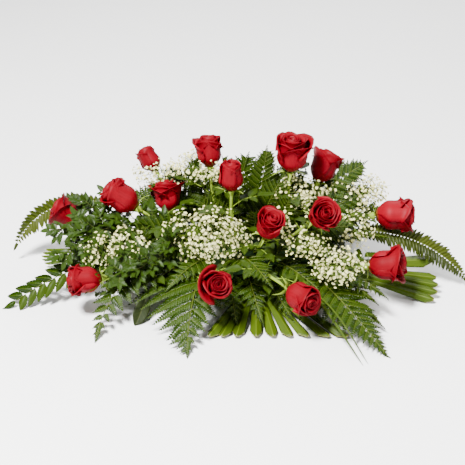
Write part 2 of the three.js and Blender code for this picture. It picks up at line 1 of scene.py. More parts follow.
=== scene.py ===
import math
import random

import bmesh
import bpy
from mathutils import Matrix, Quaternion, Vector


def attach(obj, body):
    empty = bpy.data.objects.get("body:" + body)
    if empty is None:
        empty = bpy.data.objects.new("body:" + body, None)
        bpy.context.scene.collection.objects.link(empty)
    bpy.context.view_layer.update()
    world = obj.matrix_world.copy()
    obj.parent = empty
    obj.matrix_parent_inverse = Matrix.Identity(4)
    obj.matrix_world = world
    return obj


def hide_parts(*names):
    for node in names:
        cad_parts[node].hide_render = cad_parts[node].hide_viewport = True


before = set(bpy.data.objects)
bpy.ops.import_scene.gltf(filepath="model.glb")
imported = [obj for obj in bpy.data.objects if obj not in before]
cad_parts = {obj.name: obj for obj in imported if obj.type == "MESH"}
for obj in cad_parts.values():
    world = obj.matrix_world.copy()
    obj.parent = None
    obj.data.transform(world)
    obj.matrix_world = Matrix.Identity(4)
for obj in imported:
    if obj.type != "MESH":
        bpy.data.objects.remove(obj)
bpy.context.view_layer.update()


# Tray and foam
# The tray is moulded plastic and the foam a soaked floral brick with its stem holes, its dark green
# partly its own wet colour and partly painted shade for the shadowed gaps between the stems. Both
# are the solids themselves with a better finish, as leaves and flowers hide almost all of them.

FOAM = {"half_x": 115, "half_y": 55, "top": 82}


def new_material(name):
    made = bpy.data.materials.new(name)
    made.use_nodes = True
    return made, made.node_tree.nodes["Principled BSDF"]


def node(material, kind, inputs=None, **settings):
    """Adds a node. An input is either a number or colour, or the socket that feeds it."""
    made = material.node_tree.nodes.new("ShaderNode" + kind)
    for name, value in settings.items():
        setattr(made, name, value)
    for name, value in (inputs or {}).items():
        if isinstance(value, bpy.types.NodeSocket):
            material.node_tree.links.new(value, made.inputs[name])
        else:
            made.inputs[name].default_value = value
    return made


def feed(material, surface, name, socket):
    material.node_tree.links.new(socket, surface.inputs[name])


def calc(material, operation, a, b=0.5):
    return node(material, "Math", {0: a, 1: b}, operation=operation).outputs[0]


def weighted(material, *parts, less=0.0):
    """A tone from 0 to 1: each socket times its weight, added up, less a number."""
    total, *others = [calc(material, "MULTIPLY", socket, weight) for socket, weight in parts]
    for part in others:
        total = calc(material, "ADD", total, part)
    return node(material, "Math", {0: total, 1: less}, operation="SUBTRACT", use_clamp=True).outputs[0]


def mixed(material, factor, a, b):
    """Colour a where the factor is 0 and b where it is 1. Each is a socket or three numbers."""
    a, b = [color if isinstance(color, bpy.types.NodeSocket) else (*color, 1) for color in (a, b)]
    return node(material, "Mix", {0: factor, 6: a, 7: b}, data_type="RGBA").outputs[2]


def noise(material, scale, detail=3.0, vector=None):
    if vector is None:
        vector = node(material, "TexCoord").outputs["Object"]
    inputs = {"Vector": vector, "Scale": scale, "Detail": detail, "Roughness": 0.55}
    return node(material, "TexNoise", inputs).outputs[0]


def bump(material, surface, height, strength, distance):
    inputs = {"Height": height, "Strength": strength, "Distance": distance}
    feed(material, surface, "Normal", node(material, "Bump", inputs).outputs[0])


def finish(surface, roughness, specular):
    surface.inputs["Roughness"].default_value = roughness
    surface.inputs["Specular IOR Level"].default_value = specular


plastic, surface = new_material("tray_plastic")
grain = noise(plastic, 220.0)
feed(plastic, surface, "Base Color", mixed(plastic, grain, (0.01, 0.017, 0.01), (0.022, 0.035, 0.02)))
finish(surface, 0.42, 0.5)
bump(plastic, surface, grain, 0.15, 0.0003)

foam_green, surface = new_material("wet_foam")
cells = noise(foam_green, 900.0, detail=2.0)
patches = noise(foam_green, 30.0)
tone = weighted(foam_green, (cells, 0.5), (patches, 0.5))
# Painted shade: the foam's green is darker than its own wet colour, so that it reads as shadow.
green = mixed(foam_green, tone, (0.003, 0.009, 0.002), (0.013, 0.034, 0.008))
feed(foam_green, surface, "Base Color", green)
finish(surface, 0.85, 0.1)
bump(foam_green, surface, cells, 0.7, 0.0008)

for name, material in (("tray", plastic), ("foam", foam_green)):
    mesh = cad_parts[name].data
    mesh.materials.clear()
    mesh.materials.append(material)


# Rose blooms
# Each bloom has twenty velvety red petals of its own, thin sheets set a golden angle apart on one
# spiral, cupped at the foot and rolled at the lip, from the tight heart to the loose outer ones.

MM = 0.001
UP = Vector((0, 0, 1))
GOLDEN = math.radians(137.5)
BLOOM_HEIGHT = 60
PETALS = 20
# The petals of the tight heart, and those that may come loose.
HEART_PETALS = 6
OUTER_PETALS = 5
# How many cells a side a petal has, in the heart and outside it.
HEART_CELLS = 7
OUTER_CELLS = 11
PETAL_THICK = 0.5
PETAL_HEIGHTS = (50, 54, 57, 58, 57, 55.5, 54.5, 53)
PETAL_NOTCHES = (0.05, 0.08, 0.12, 0.16, 0.2, 0.24, 0.27, 0.27)
# A petal's half width, and the most that it wraps round the bloom, in radians.
PETAL_HALF = 32
WIDEST_WRAP = 2.3
# The radius of the innermost and of the outermost petal at its root.
ROOT_RADII = (2, 7.6)
# The radius of the innermost petal at its belly, and how much wider the outermost is.
HEART_GIRTH = 3
GIRTH_GAIN = 20
# How far up its length a petal is widest, and where a loose one bends.
BELLY = 0.4
HINGE = 0.22
CURL_STEPS = 4
# The middle of each bloom, the bearing and rise of its axis in degrees, its size, how far it has
# opened, its turn, and its loose petals: where each leans to in the world, and how far.
ROSE_KEYS = ("at", "bearing", "rise", "size", "open", "turn", "loose")
ROSE_ROWS = (
    ((-165, 90, 194), 150, 55, 0.78, 0.1, 20, (((-1, 0, 0.2), 0.1),)),
    ((-58, 60, 222), 110, 78, 0.92, 0.5, 75, (((-1, -0.2, 0), 0.16),)),
    ((-20, -38, 219), -90, 86, 0.9, 0.05, 40, ()),
    ((81, 0, 243), -70, 80, 1.1, 0.65, 200, (((1, -0.2, 0), 0.16),)),
    ((142, 55, 195), 40, 55, 0.98, 0.5, 110, (((-1, 0, 0.5), 0.16), ((1, -0.3, -0.2), 0.12))),
    ((-208, -15, 169), 182, 37, 1.08, 0.35, 0, ()),
    ((-131, 30, 150), 120, 72, 0.92, 0.65, 150, (((-1, -0.5, 0), 0.2), ((1, -0.4, -0.2), 0.25))),
    ((-306, 25, 119), 172, 30, 0.95, 0.6, 60, (((0, 0.2, 1), 0.1), ((-0.3, -0.7, -0.5), 0.3))),
    ((42, -110, 164), -65, 58, 0.9, 0.4, 260, (((-1, -0.2, 0.2), 0.2),)),
    ((128, -95, 174), -72, 36, 0.94, 0.55, 300, (((-0.8, 0, -0.6), 0.15),)),
    ((262, 0, 128), -4, 5, 1.14, 0.45, 90, (((0.1, -0.5, -1), 0.2),)),
    ((239, -100, 85), -14, 13, 1.06, 0.55, 20, (((-0.2, 0, 1), 0.14), ((0, -0.4, -1), 0.16))),
    ((-262, -120, 68), 198, 4, 0.95, 0.5, 130, ()),
    ((-45, -190, 100), -72, 26, 0.88, 0.5, 10, (((-1, 0.1, -0.1), 0.36), ((0.1, -0.3, -1), 0.1))),
    ((91, -200, 82), -52, -2, 0.97, 0.45, 230, ()),
)
ROSES = [dict(zip(ROSE_KEYS, row)) for row in ROSE_ROWS]


def clamp(value, low=0.0, high=1.0):
    return max(low, min(high, value))


def smooth(value, low=0.0, high=1.0):
    share = clamp((value - low) / (high - low))
    return share * share * (3 - 2 * share)


def lerp(a, b, share):
    return a + (b - a) * share


def along_list(values, share):
    place = clamp(share) * (len(values) - 1)
    first = min(int(place), len(values) - 2)
    return lerp(values[first], values[first + 1], place - first)


def sheet(bm, across, along, place):
    """A sheet of across x along cells. place(u, v) sets each corner, with u and v from 0 to 1."""
    bm.loops.layers.uv.verify()
    made = bmesh.ops.create_grid(bm, x_segments=across, y_segments=along, size=1, calc_uvs=True)
    for vert in made["verts"]:
        vert.co = place((vert.co.x + 1) / 2, (vert.co.y + 1) / 2)
    return made["verts"]


def piece(name, bm, material, slot, *nodes):
    """Ends a piece: its mesh in metres, its material, and the nodes of the solids it stands for."""
    bmesh.ops.scale(bm, vec=(MM, MM, MM), verts=bm.verts)
    mesh = bpy.data.meshes.new(name)
    bm.to_mesh(mesh)
    bm.free()
    for face in mesh.polygons:
        face.use_smooth = True
    mesh.materials.append(material)
    made = bpy.data.objects.new(name, mesh)
    bpy.context.scene.collection.objects.link(made)
    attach(made, "root")
    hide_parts(*nodes)
    return made


def thicken(made, thickness):
    solid = made.modifiers.new("thickness", "SOLIDIFY")
    solid.thickness = thickness * MM
    solid.offset = 0


def uv_parts(material):
    """The piece's own UV map: the whole of it, across and along."""
    uv = node(material, "TexCoord").outputs["UV"]
    across, along = node(material, "SeparateXYZ", {0: uv}).outputs[:2]
    return uv, across, along


def stretched(material, uv, across, along):
    inputs = {0: uv, 1: (across, along, 1.0)}
    return node(material, "VectorMath", inputs, operation="MULTIPLY").outputs[0]


def own_tone(material):
    """A number from 0 to 1 of its own for each petal or leaflet."""
    return node(material, "NewGeometry").outputs["Random Per Island"]


def step_between(material, value, low, high):
    """0 below low, 1 above high and smooth between them. low may be the larger one."""
    inputs = {0: value, 1: low, 2: high}
    return node(material, "MapRange", inputs, interpolation_type="SMOOTHSTEP").outputs[0]


def tinted(material, color, tint, mask, most):
    """The colour, turned as far as most towards the tint where the mask is 1."""
    return mixed(material, calc(material, "MULTIPLY", mask, most), color, tint)


def let_light_through(material, surface, color, share):
    """Mixes in some light that shines through a thin leaf or petal."""
    shining = node(material, "BsdfTranslucent", {"Color": color}).outputs[0]
    both = node(material, "MixShader", {0: share, 1: surface.outputs[0], 2: shining}).outputs[0]
    feed(material, material.node_tree.nodes["Material Output"], "Surface", both)


petal_red, surface = new_material("rose_petal")
uv, _, along = uv_parts(petal_red)
veins = noise(petal_red, 1.5, detail=4.0, vector=stretched(petal_red, uv, 26.0, 1.6))
clouds = noise(petal_red, 45.0)
tone = weighted(petal_red, (veins, 0.35), (clouds, 0.4), (own_tone(petal_red), 0.3), less=0.1)
red = mixed(petal_red, tone, (0.065, 0.0, 0.0015), (0.225, 0.0, 0.009))
lip = step_between(petal_red, along, 0.86, 1.0)
red = tinted(petal_red, red, (0.11, 0.0, 0.003), lip, 0.4)
claw = step_between(petal_red, along, 0.09, 0.0)
red = tinted(petal_red, red, (0.2, 0.14, 0.02), claw, 0.5)
feed(petal_red, surface, "Base Color", red)
finish(surface, 0.5, 0.07)
bump(petal_red, surface, veins, 0.22, 0.0006)
let_light_through(petal_red, surface, red, 0.07)


def rose_frame(rose):
    """The bloom's axis, the foot of its petals, and the turn that takes +Z to the axis."""
    bearing, rise = math.radians(rose["bearing"]), math.radians(rose["rise"])
    flat = math.cos(rise)
    axis = Vector((flat * math.cos(bearing), flat * math.sin(bearing), math.sin(rise)))
    base = Vector(rose["at"]) - axis * (BLOOM_HEIGHT / 2 * rose["size"])
    return axis, base, UP.rotation_difference(axis)


def in_place(point, turn, size):
    return Matrix.Translation(point) @ turn.to_matrix().to_4x4() @ Matrix.Scale(size, 4)


def girth_at(share):
    """The radius at the belly, from the innermost petal at 0 to the outermost at 1."""
    return HEART_GIRTH + GIRTH_GAIN * (share**0.95 if share > 0 else share)


def petal_place(rose, k, lean, draw):
    """Where the points of petal k go in the bloom's own frame, with the petal leaning out by lean."""
    opened = rose["open"]
    out = k / (PETALS - 1)
    middle = k * GOLDEN + math.radians(rose["turn"])
    half = min(WIDEST_WRAP, PETAL_HALF / girth_at(out)) * draw.uniform(0.94, 1.06)
    height = along_list(PETAL_HEIGHTS, out) * draw.uniform(0.97, 1.02)
    notch = along_list(PETAL_NOTCHES, out) * (0.5 + 0.7 * opened)
    curl = math.radians(8 + out * (28 + 95 * opened)) * draw.uniform(0.75, 1.2)
    curl = curl * smooth(out, 0.15, 0.6) + lean * 1.2
    lip = 0.15 * smooth(out, 0.1, 0.7) + 0.02
    wave, phase = draw.uniform(0.5, 1.2) * (0.6 + 1.1 * opened), draw.uniform(0, 6.3)
    skew = draw.uniform(-0.08, 0.08)

    def body(v, order, edge):
        """Radius and height below the lip."""
        full = max(1.0, girth_at(clamp(order / (PETALS - 1), -0.12, 1.1)))
        root = lerp(*ROOT_RADII, out)
        swell = math.sin(math.pi / 2 * min(1, v / BELLY))
        rise = max(0, (v - BELLY) / (1 - BELLY))
        tuck = full * (0.36 - 0.46 * opened * out - 0.1 * edge) * rise
        flare = (0.5 + 3 * opened) * smooth(out, 0.3, 1) * rise**2.5 * (1 - 0.4 * edge)
        return root + (full - root) * swell - tuck + flare, 0.4 + height * v

    def rolled(r, z, share, bend, order, edge, side):
        """Carries the lip on from the bend, curling outwards more and more."""
        r_before, z_before = body(bend - 0.02, order, edge)
        start = math.atan2(r - r_before, z - z_before)
        length = height * share
        total = curl * (0.45 + 1.05 * abs(side) ** 1.5) * share / lip
        for step in range(CURL_STEPS):
            heading = start + total * (step + 0.5) / CURL_STEPS
            r += math.sin(heading) * length / CURL_STEPS
            z += math.cos(heading) * length / CURL_STEPS
        return r, z

    def place(u, v):
        side = 2 * u - 1
        edge = abs(side) ** 3
        angle = side * half * (0.55 + 0.45 * smooth(v, 0, 0.45))
        order = k + 2.2 * angle / GOLDEN * (0.5 + 0.5 * v)
        top = 1 - notch * edge + 0.03 * smooth(1 - abs(side), 0.6, 1) * smooth(out, 0.4, 0.9)
        v_here = v * top
        bend = top - lip
        r, z = body(min(v_here, bend), order, edge)
        if v_here > bend:
            r, z = rolled(r, z, v_here - bend, bend, order, edge, side)
        if lean:
            reach = max(0, z - HINGE * height)
            amount = lean * smooth(reach / height, 0, 0.5)
            r += math.sin(amount) * reach
            z -= (1 - math.cos(amount)) * reach
        ripple = wave * v**4 * math.sin(4.1 * side + phase)
        ripple += 0.5 * wave * v**8 * math.sin(11 * side + 2 * phase) * smooth(out, 0.2, 0.8)
        r += ripple + out * 4.8 * max(0, abs(side) - 0.55) * opened * v
        z += 0.8 * ripple
        turned = middle + angle + skew * v
        return Vector((max(r, 0.3) * math.cos(turned), max(r, 0.3) * math.sin(turned), z))

    return place


def loose_petals(rose, turn):
    """How far the petals lean that lie nearest to where the bloom has fallen open."""
    leans = {}
    for towards, amount in rose["loose"]:
        local = turn.inverted() @ Vector(towards)
        bearing = math.atan2(local.y, local.x)

        def apart(k):
            swing = k * GOLDEN + math.radians(rose["turn"]) - bearing
            return abs((swing + math.pi) % (2 * math.pi) - math.pi)

        outer = [k for k in range(PETALS - OUTER_PETALS, PETALS) if k not in leans]
        leans[min(outer, key=apart)] = amount
    return leans


for number, rose in enumerate(ROSES, 1):
    draw = random.Random(100 + number)
    axis, base, turn = rose_frame(rose)
    leans = loose_petals(rose, turn)
    bm = bmesh.new()
    for k in range(PETALS):
        cells = HEART_CELLS if k < HEART_PETALS else OUTER_CELLS
        sheet(bm, cells, cells, petal_place(rose, k, leans.get(k, 0), draw))
    bmesh.ops.transform(bm, verts=bm.verts, matrix=in_place(base, turn, rose["size"]))
    name = f"bloom_{number:02d}"
    thicken(piece(name + "_petals", bm, petal_red, "rose_petal", name), PETAL_THICK)


# Rose stems
# Each rose has its stem, hip and five sepals in one fresh green piece, and carries leaves of five
# toothed leaflets. The stem runs on the same curve as in the solids, down into its hole in the foam.

ROSE_STEM = 2.6
# Stems aim into the foam, at these shares of where they come from and at this height. They end so
# far inside it, at least so far from its sides, and between these heights.
AIM_X, AIM_Y, AIM_HEIGHT = 0.28, 0.12, 46
IN_FOAM = 26
ROOT_MARGIN = 10
ROOT_HEIGHTS = (30, FOAM["top"] - 18)
HIP_DEPTH = 11
HIP_HEIGHTS = (-13, -11, -8, -5.5, -3, -1.4, -0.5)
HIP_RADII = (2.5, 2.9, 4.2, 5.5, 6.2, 5.6, 4.6)
SEPAL = {"count": 5, "length": 27, "half": 3.2, "foot": 4.4, "seat": -2.2}
# How many leaves a stem has, and how far up it the lowest and the highest sit.
LEAVES_A_STEM = 5
LEAF_SPAN = (0.3, 0.8)
# The stalk of a rose leaf, its pairs of leaflets as how far up they sit and how long they are, and
# the length of the one at its end.
ROSE_LEAF = {"stalk": 44, "pairs": ((0.45, 21), (0.75, 25)), "end": 30}
# The room that a bloom takes up below, above and round its foot, and how far leaves press into it.
BLOOM_ROOM = {"below": 8, "above": 54, "round": 25}
PRESSED = 1.5


class Path:
    """A curve measured along its length. curve(t) gives its points, with t from 0 to 1."""

    def __init__(self, curve, samples=90):
        self.points = [curve(i / samples) for i in range(samples + 1)]
        self.marks = [0.0]
        for a, b in zip(self.points, self.points[1:]):
            self.marks.append(self.marks[-1] + (b - a).length)
        self.length = self.marks[-1]

    def at(self, along):
        """The point and the direction at a distance from the root, straight on past its end."""
        last = len(self.points) - 2
        i = int(clamp(along / self.length * (last + 1), 0, last))
        while i < last and self.marks[i + 1] < along:
            i += 1
        while i > 0 and self.marks[i] > along:
            i -= 1
        a, b = self.points[i], self.points[i + 1]
        step = (b - a).normalized()
        before = (a - self.points[i - 1]).normalized() if i else step
        after = (self.points[i + 2] - b).normalized() if i < last else step
        part = (along - self.marks[i]) / (self.marks[i + 1] - self.marks[i])
        near = clamp(part)
        forward = (before + step) * (1 - near) + (step + after) * near
        return a + (b - a) * part, forward.normalized()

    def row(self, count, end=1.0):
        """Evenly spaced points, from the root to a share of the length."""
        return [self.at(end * (k / (count - 1)) * self.length)[0] for k in range(count)]


def through(points):
    """A centripetal curve through the points."""
    whole = [points[0] * 2 - points[1], *points, points[-1] * 2 - points[-2]]

    def curve(t):
        place = t * (len(points) - 1)
        first = min(int(place), len(points) - 2)
        s = place - first
        p0, p1, p2, p3 = whole[first : first + 4]
        d0, d1, d2 = [max((b - a).length, 1e-4) ** 0.5 for a, b in ((p0, p1), (p1, p2), (p2, p3))]
        t1 = ((p1 - p0) / d0 - (p2 - p0) / (d0 + d1) + (p2 - p1) / d1) * d1
        t2 = ((p2 - p1) / d1 - (p3 - p1) / (d1 + d2) + (p3 - p2) / d2) * d1
        c2 = (p2 - p1) * 3 - t1 * 2 - t2
        c3 = (p1 - p2) * 2 + t1 + t2
        return p1 + t1 * s + c2 * s * s + c3 * s**3

    return curve


def bowed(start, end, bow, samples=90):
    """A path from start to end that is carried aside by bow at its middle."""
    return Path(through([start, start.lerp(end, 0.5) + bow, end]), samples)


def stalk(bm, points, radii, sides):
    """A round stalk through points, closed at both ends. radii run from its root to its tip."""
    points = [points[0], *points, points[-1]]
    last = len(points) - 1
    girths = [along_list(radii, (k - 1) / (last - 2)) for k in range(last + 1)]
    girths[0] = girths[last] = 0
    forward = (points[2] - points[1]).normalized()
    side = forward.orthogonal().normalized()
    rings = []
    for k, point in enumerate(points):
        ahead = (points[min(k + 1, last)] - points[max(k - 1, 0)]).normalized()
        side = (forward.rotation_difference(ahead) @ side).normalized()
        forward = ahead
        rings.append((point, side.copy(), forward.cross(side), girths[k]))

    def place(u, v):
        point, first, second, girth = rings[round(v * last)]
        turn = 2 * math.pi * u
        return point + (first * math.cos(turn) + second * math.sin(turn)) * girth

    verts = sheet(bm, sides, last, place)
    bmesh.ops.remove_doubles(bm, verts=verts, dist=1e-4)


def new_sheets():
    """A mesh to set leaflets down in, with its UV map."""
    bm = bmesh.new()
    bm.loops.layers.uv.verify()
    return bm


def template(build):
    """A small mesh for setting down many times."""
    bm = bmesh.new()
    build(bm)
    mesh = bpy.data.meshes.new("template")
    bm.to_mesh(mesh)
    bm.free()
    return mesh


def set_down(bm, mesh, matrix):
    copy = mesh.copy()
    copy.transform(matrix)
    bm.from_mesh(copy)
    bpy.data.meshes.remove(copy)


def join(bm, other, matrix):
    """Moves all of another mesh in the making into this one."""
    bmesh.ops.transform(other, verts=other.verts, matrix=matrix)
    scratch = bpy.data.meshes.new("scratch")
    other.to_mesh(scratch)
    other.free()
    bm.from_mesh(scratch)
    bpy.data.meshes.remove(scratch)


def set_leaflet(bm, mesh, point, forward, up, size, wide=None):
    """Sets a leaflet down along forward, its face as near up as it can be. size is its length."""
    side = up.cross(forward).normalized()
    top = forward.cross(side).normalized()
    turn = Matrix((forward.normalized(), side, top)).transposed()
    scale = Matrix.Diagonal((size, size if wide is None else wide, size, 1))
    set_down(bm, mesh, Matrix.Translation(point) @ turn.to_4x4() @ scale)


def leaf_material(name, deep, bright, rib, rough, veins, glow=0.12):
    """A leaf with a pale midrib, slanting side veins, and a tone of its own."""
    made, surface = new_material(name)
    _, across, along = uv_parts(made)
    off = calc(made, "MULTIPLY", calc(made, "ABSOLUTE", calc(made, "SUBTRACT", across, 0.5)), 2.0)
    grain = noise(made, 35.0)
    tone = weighted(made, (own_tone(made), 0.55), (grain, 0.6), less=0.1)
    green = mixed(made, tone, deep, bright)
    slant = calc(made, "SUBTRACT", along, calc(made, "MULTIPLY", off, 0.18))
    wave = calc(made, "SINE", calc(made, "MULTIPLY", slant, 2 * math.pi * veins))
    side = step_between(made, wave, 0.55, 1.0)
    green = tinted(made, green, rib, side, 0.22)
    middle = step_between(made, off, 0.13, 0.03)
    green = tinted(made, green, rib, middle, 0.6)
    underside = node(made, "NewGeometry").outputs["Backfacing"]
    green = tinted(made, green, rib, underside, 0.45)
    feed(made, surface, "Base Color", green)
    finish(surface, rough, 0.13)
    worn = weighted(made, (grain, 0.25), (underside, 0.2), less=0.12 - rough)
    feed(made, surface, "Roughness", worn)
    relief = calc(made, "ADD", calc(made, "MULTIPLY", side, -0.5), calc(made, "MULTIPLY", middle, -1.0))
    bump(made, surface, relief, 0.5, 0.0004)
    let_light_through(made, surface, green, glow)
    return made


def stem_material(name, deep, bright, rough=0.5):
    """A green stem, streaked along its length."""
    made, surface = new_material(name)
    uv = node(made, "TexCoord").outputs["UV"]
    streaks = noise(made, 2.0, vector=stretched(made, uv, 9.0, 2.5))
    tone = weighted(made, (streaks, 0.7), (noise(made, 60.0), 0.4), less=0.05)
    feed(made, surface, "Base Color", mixed(made, tone, deep, bright))
    finish(surface, rough, 0.15)
    bump(made, surface, streaks, 0.25, 0.0004)
    return made


def leaflet_place(half, fold, droop, teeth=0):
    """A pointed oval leaflet of length 1 along +X, folded along its rib and drooping."""

    def place(u, v):
        side = 2 * u - 1
        outline = math.sin(math.pi * v**0.85) ** 0.8 * (1 - 0.25 * v)
        tooth = 1 - 0.13 * (round(v * teeth * 2) % 2) * abs(side) if teeth else 1
        y = half * outline * side * tooth
        z = fold * abs(y) - droop * v * v + 0.03 * math.sin(9 * v) * abs(side)
        return Vector((v, y, z))

    return place


rose_green = stem_material("rose_green", (0.07, 0.12, 0.008), (0.22, 0.3, 0.03))
rose_leaf = leaf_material(
    "rose_leaf", (0.002, 0.008, 0.0002), (0.011, 0.026, 0.0004), (0.03, 0.052, 0.002), rough=0.26, veins=9
)
rose_leaflet = template(lambda bm: sheet(bm, 6, 14, leaflet_place(0.33, 0.25, 0.16, teeth=7)))
BLOOM_FRAMES = [(*rose_frame(rose)[:2], rose["size"]) for rose in ROSES]


def inside_bloom(point, margin):
    """Whether a point lies within a bloom, or within a margin of it."""
    for axis, base, size in BLOOM_FRAMES:
        reach = point - base
        up = reach.dot(axis)
        within = -BLOOM_ROOM["below"] * size < up < BLOOM_ROOM["above"] * size + margin
        if within and (reach - axis * up).length < BLOOM_ROOM["round"] * size + margin:
            return True
    return False


def clear_blooms(bm):
    """Leaves out what would grow into a bloom."""
    inside = [vert for vert in bm.verts if inside_bloom(vert.co, -PRESSED)]
    bmesh.ops.delete(bm, geom=inside, context="VERTS")


def seat(start):
    """Where a stem that comes from start ends inside the foam."""
    step = (Vector((AIM_X * start.x, AIM_Y * start.y, AIM_HEIGHT)) - start).normalized()
    point = start.copy()
    while abs(point.x) > FOAM["half_x"] or abs(point.y) > FOAM["half_y"] or point.z > FOAM["top"]:
        point += step
    point += step * IN_FOAM
    half_x, half_y = FOAM["half_x"] - ROOT_MARGIN, FOAM["half_y"] - ROOT_MARGIN
    point.x = clamp(point.x, -half_x, half_x)
    point.y = clamp(point.y, -half_y, half_y)
    point.z = clamp(point.z, *ROOT_HEIGHTS)
    return point


def rose_path(rose):
    axis, base, _ = rose_frame(rose)
    hip_end = base - axis * HIP_DEPTH * rose["size"]
    root = seat(hip_end)
    bend = hip_end - axis * 0.3 * (hip_end - root).length
    return Path(through([root, root.lerp(bend, 0.5), bend, hip_end + axis * 3]))


def sepal_place(rose, k, draw):
    """Where the points of sepal k go in the bloom's own frame. It hangs lower on an open bloom."""
    turned = 2 * math.pi * k / SEPAL["count"] + math.radians(rose["turn"])
    end = -4 + SEPAL["length"] * (0.25 - 0.7 * rose["open"]) + draw.uniform(-3, 3)
    reach = SEPAL["length"] * draw.uniform(0.9, 1.02)
    bow = draw.uniform(2, 6)
    sway = draw.uniform(-0.25, 0.25)

    def place(u, v):
        side = 2 * u - 1
        width = SEPAL["half"] * (1 - v) ** 0.7 * (0.8 + 0.5 * math.sin(math.pi * min(1, v * 1.8)))
        r = SEPAL["foot"] + reach * v
        z = SEPAL["seat"] + (end - SEPAL["seat"]) * v**1.5
        z += bow * math.sin(math.pi * v) - 0.22 * width * side * side
        angle = turned + sway * v * v + side * width / r
        return Vector((r * math.cos(angle), r * math.sin(angle), z))

    return place


def compound_leaf(leaves, green, start, forward, up, size, draw):
    """A rose leaf: a stalk with two pairs of leaflets and one at its end."""
    tip = start + forward * ROSE_LEAF["stalk"] * size + up * 4
    path = bowed(start, tip, up * 5, 12)
    stalk(green, path.row(5), (0.9, 0.6), 5)
    for share, length in ROSE_LEAF["pairs"]:
        point, heading = path.at(share * path.length)
        for sign in (-1, 1):
            across = up.cross(heading) * sign
            aim = (heading * 0.55 + across + up * draw.uniform(-0.1, 0.25)).normalized()
            face = (up + across * draw.uniform(-0.3, 0.1)).normalized()
            set_leaflet(leaves, rose_leaflet, point, aim, face, length * size * draw.uniform(0.9, 1.1))
    point, heading = path.at(path.length)
    set_leaflet(leaves, rose_leaflet, point, heading, up, ROSE_LEAF["end"] * size)


for number, rose in enumerate(ROSES, 1):
    draw = random.Random(200 + number)
    axis, base, turn = rose_frame(rose)
    path = rose_path(rose)
    green = bmesh.new()
    stalk(green, path.row(18, end=0.985), (ROSE_STEM, ROSE_STEM * 0.92, ROSE_STEM), 12)
    calyx = bmesh.new()
    stalk(calyx, [UP * height for height in HIP_HEIGHTS], HIP_RADII, 16)
    for k in range(SEPAL["count"]):
        sheet(calyx, 4, 12, sepal_place(rose, k, draw))
    join(green, calyx, in_place(base, turn, rose["size"]))
    leaves = new_sheets()
    for k in range(LEAVES_A_STEM):
        share = lerp(*LEAF_SPAN, k / (LEAVES_A_STEM - 1))
        point, heading = path.at(share * path.length)
        bearing = number + k * GOLDEN
        aim = Vector((math.cos(bearing), math.sin(bearing), draw.uniform(-0.1, 0.5))).normalized()
        leaf_size = draw.uniform(0.85, 1.1)
        compound_leaf(leaves, green, point, aim, (UP + heading * 0.3).normalized(), leaf_size, draw)
    clear_blooms(leaves)
    name = f"rose_stem_{number:02d}"
    piece(name + "_green", green, rose_green, "rose_green", name)
    piece(name + "_leaves", leaves, rose_leaf, "glossy_leaf", name)


# Cut palm
# Three fans of straight folded blades from the end of a leaf stalk, ribbed lengthwise and cut to a
# blunt point. They lie low at the front and at both sides.

PALM_STEM = 2
PALM_THICK = 0.7
BLADE_FOOT = 1.3
# Where the blades begin beyond the end of the stalk, and the lowest that they lie.
BLADE_START = 5
BLADE_LOWEST = 0.6
# How far back a blade's corners are cut, and how far from its middle the cut begins, in half widths.
CUT = 1.5
CUT_FROM = 0.3
PALMS = {
    "palm_front": {
        "root": (22, -30, 40), "hub": (22, -70, 40),
        "tips": [((x, -196, 5), 10) for x in (-56, -36, -12, 20, 48, 76, 104, 138, 168)],
    },
    "palm_left": {
        "root": (-92, 8, 48), "hub": (-132, 22, 50),
        "tips": [((-362 + 0.01 * (y - 55) ** 2, y, 20), 4.6) for y in (24, 37, 50, 63, 76)],
    },
    "palm_right": {
        "root": (92, -4, 36), "hub": (134, -12, 38), "face": (0, -0.9, 1),
        "tips": [
            ((324, -84, 8), 8.4), ((332, -69, 14), 8.4), ((335, -54, 20), 8.4),
            ((334, -38, 25), 8.4), ((332, -8, 44), 11.5),
        ],
    },
}

palm_green, surface = new_material("palm_leaf")
uv, across, along = uv_parts(palm_green)
ribs = noise(palm_green, 1.6, detail=4.0, vector=stretched(palm_green, uv, 34.0, 1.2))
patches = noise(palm_green, 28.0)
tone = weighted(palm_green, (ribs, 0.5), (own_tone(palm_green), 0.3), (patches, 0.35), less=0.15)
green = mixed(palm_green, tone, (0.014, 0.031, 0.0006), (0.06, 0.092, 0.002))
near_fold = calc(palm_green, "ABSOLUTE", calc(palm_green, "SUBTRACT", across, 0.5))
fold = step_between(palm_green, near_fold, 0.05, 0.0)
green = tinted(palm_green, green, (0.11, 0.15, 0.01), fold, 0.5)
cut_end = step_between(palm_green, along, 0.985, 1.0)
green = tinted(palm_green, green, (0.3, 0.28, 0.08), cut_end, 0.6)
feed(palm_green, surface, "Base Color", green)
finish(surface, 0.42, 0.15)
bump(palm_green, surface, ribs, 0.35, 0.0005)
let_light_through(palm_green, surface, green, 0.12)


def blade_place(hub, tip, half, face, draw):
    """Where the points of a blade go that runs straight from the hub to its tip."""
    forward = Vector(tip) - hub
    length = forward.length
    forward.normalize()
    across = forward.cross(Vector(face)).normalized()
    out = across.cross(forward).normalized()
    twist = draw.uniform(-0.12, 0.12)
    sag = draw.uniform(0, 2.5)

    def place(u, v):
        side = 2 * u - 1
        width = lerp(BLADE_FOOT, half, min(1, v**0.9))
        turned = twist * v
        cut_back = CUT * half * clamp((abs(side) - CUT_FROM) / (1 - CUT_FROM))
        reach = BLADE_START + (length - BLADE_START - cut_back) * v
        crown = width * (0.3 - 0.6 * abs(side)) + 0.05 * width * math.cos(5 * math.pi * side)
        low = across * math.cos(turned) + out * math.sin(turned)
        high = out * math.cos(turned) - across * math.sin(turned)
        point = hub + forward * reach + low * width * side + high * crown
        point += out * sag * math.sin(math.pi * v)
        point.z = max(point.z, BLADE_LOWEST)
        return point

    return place


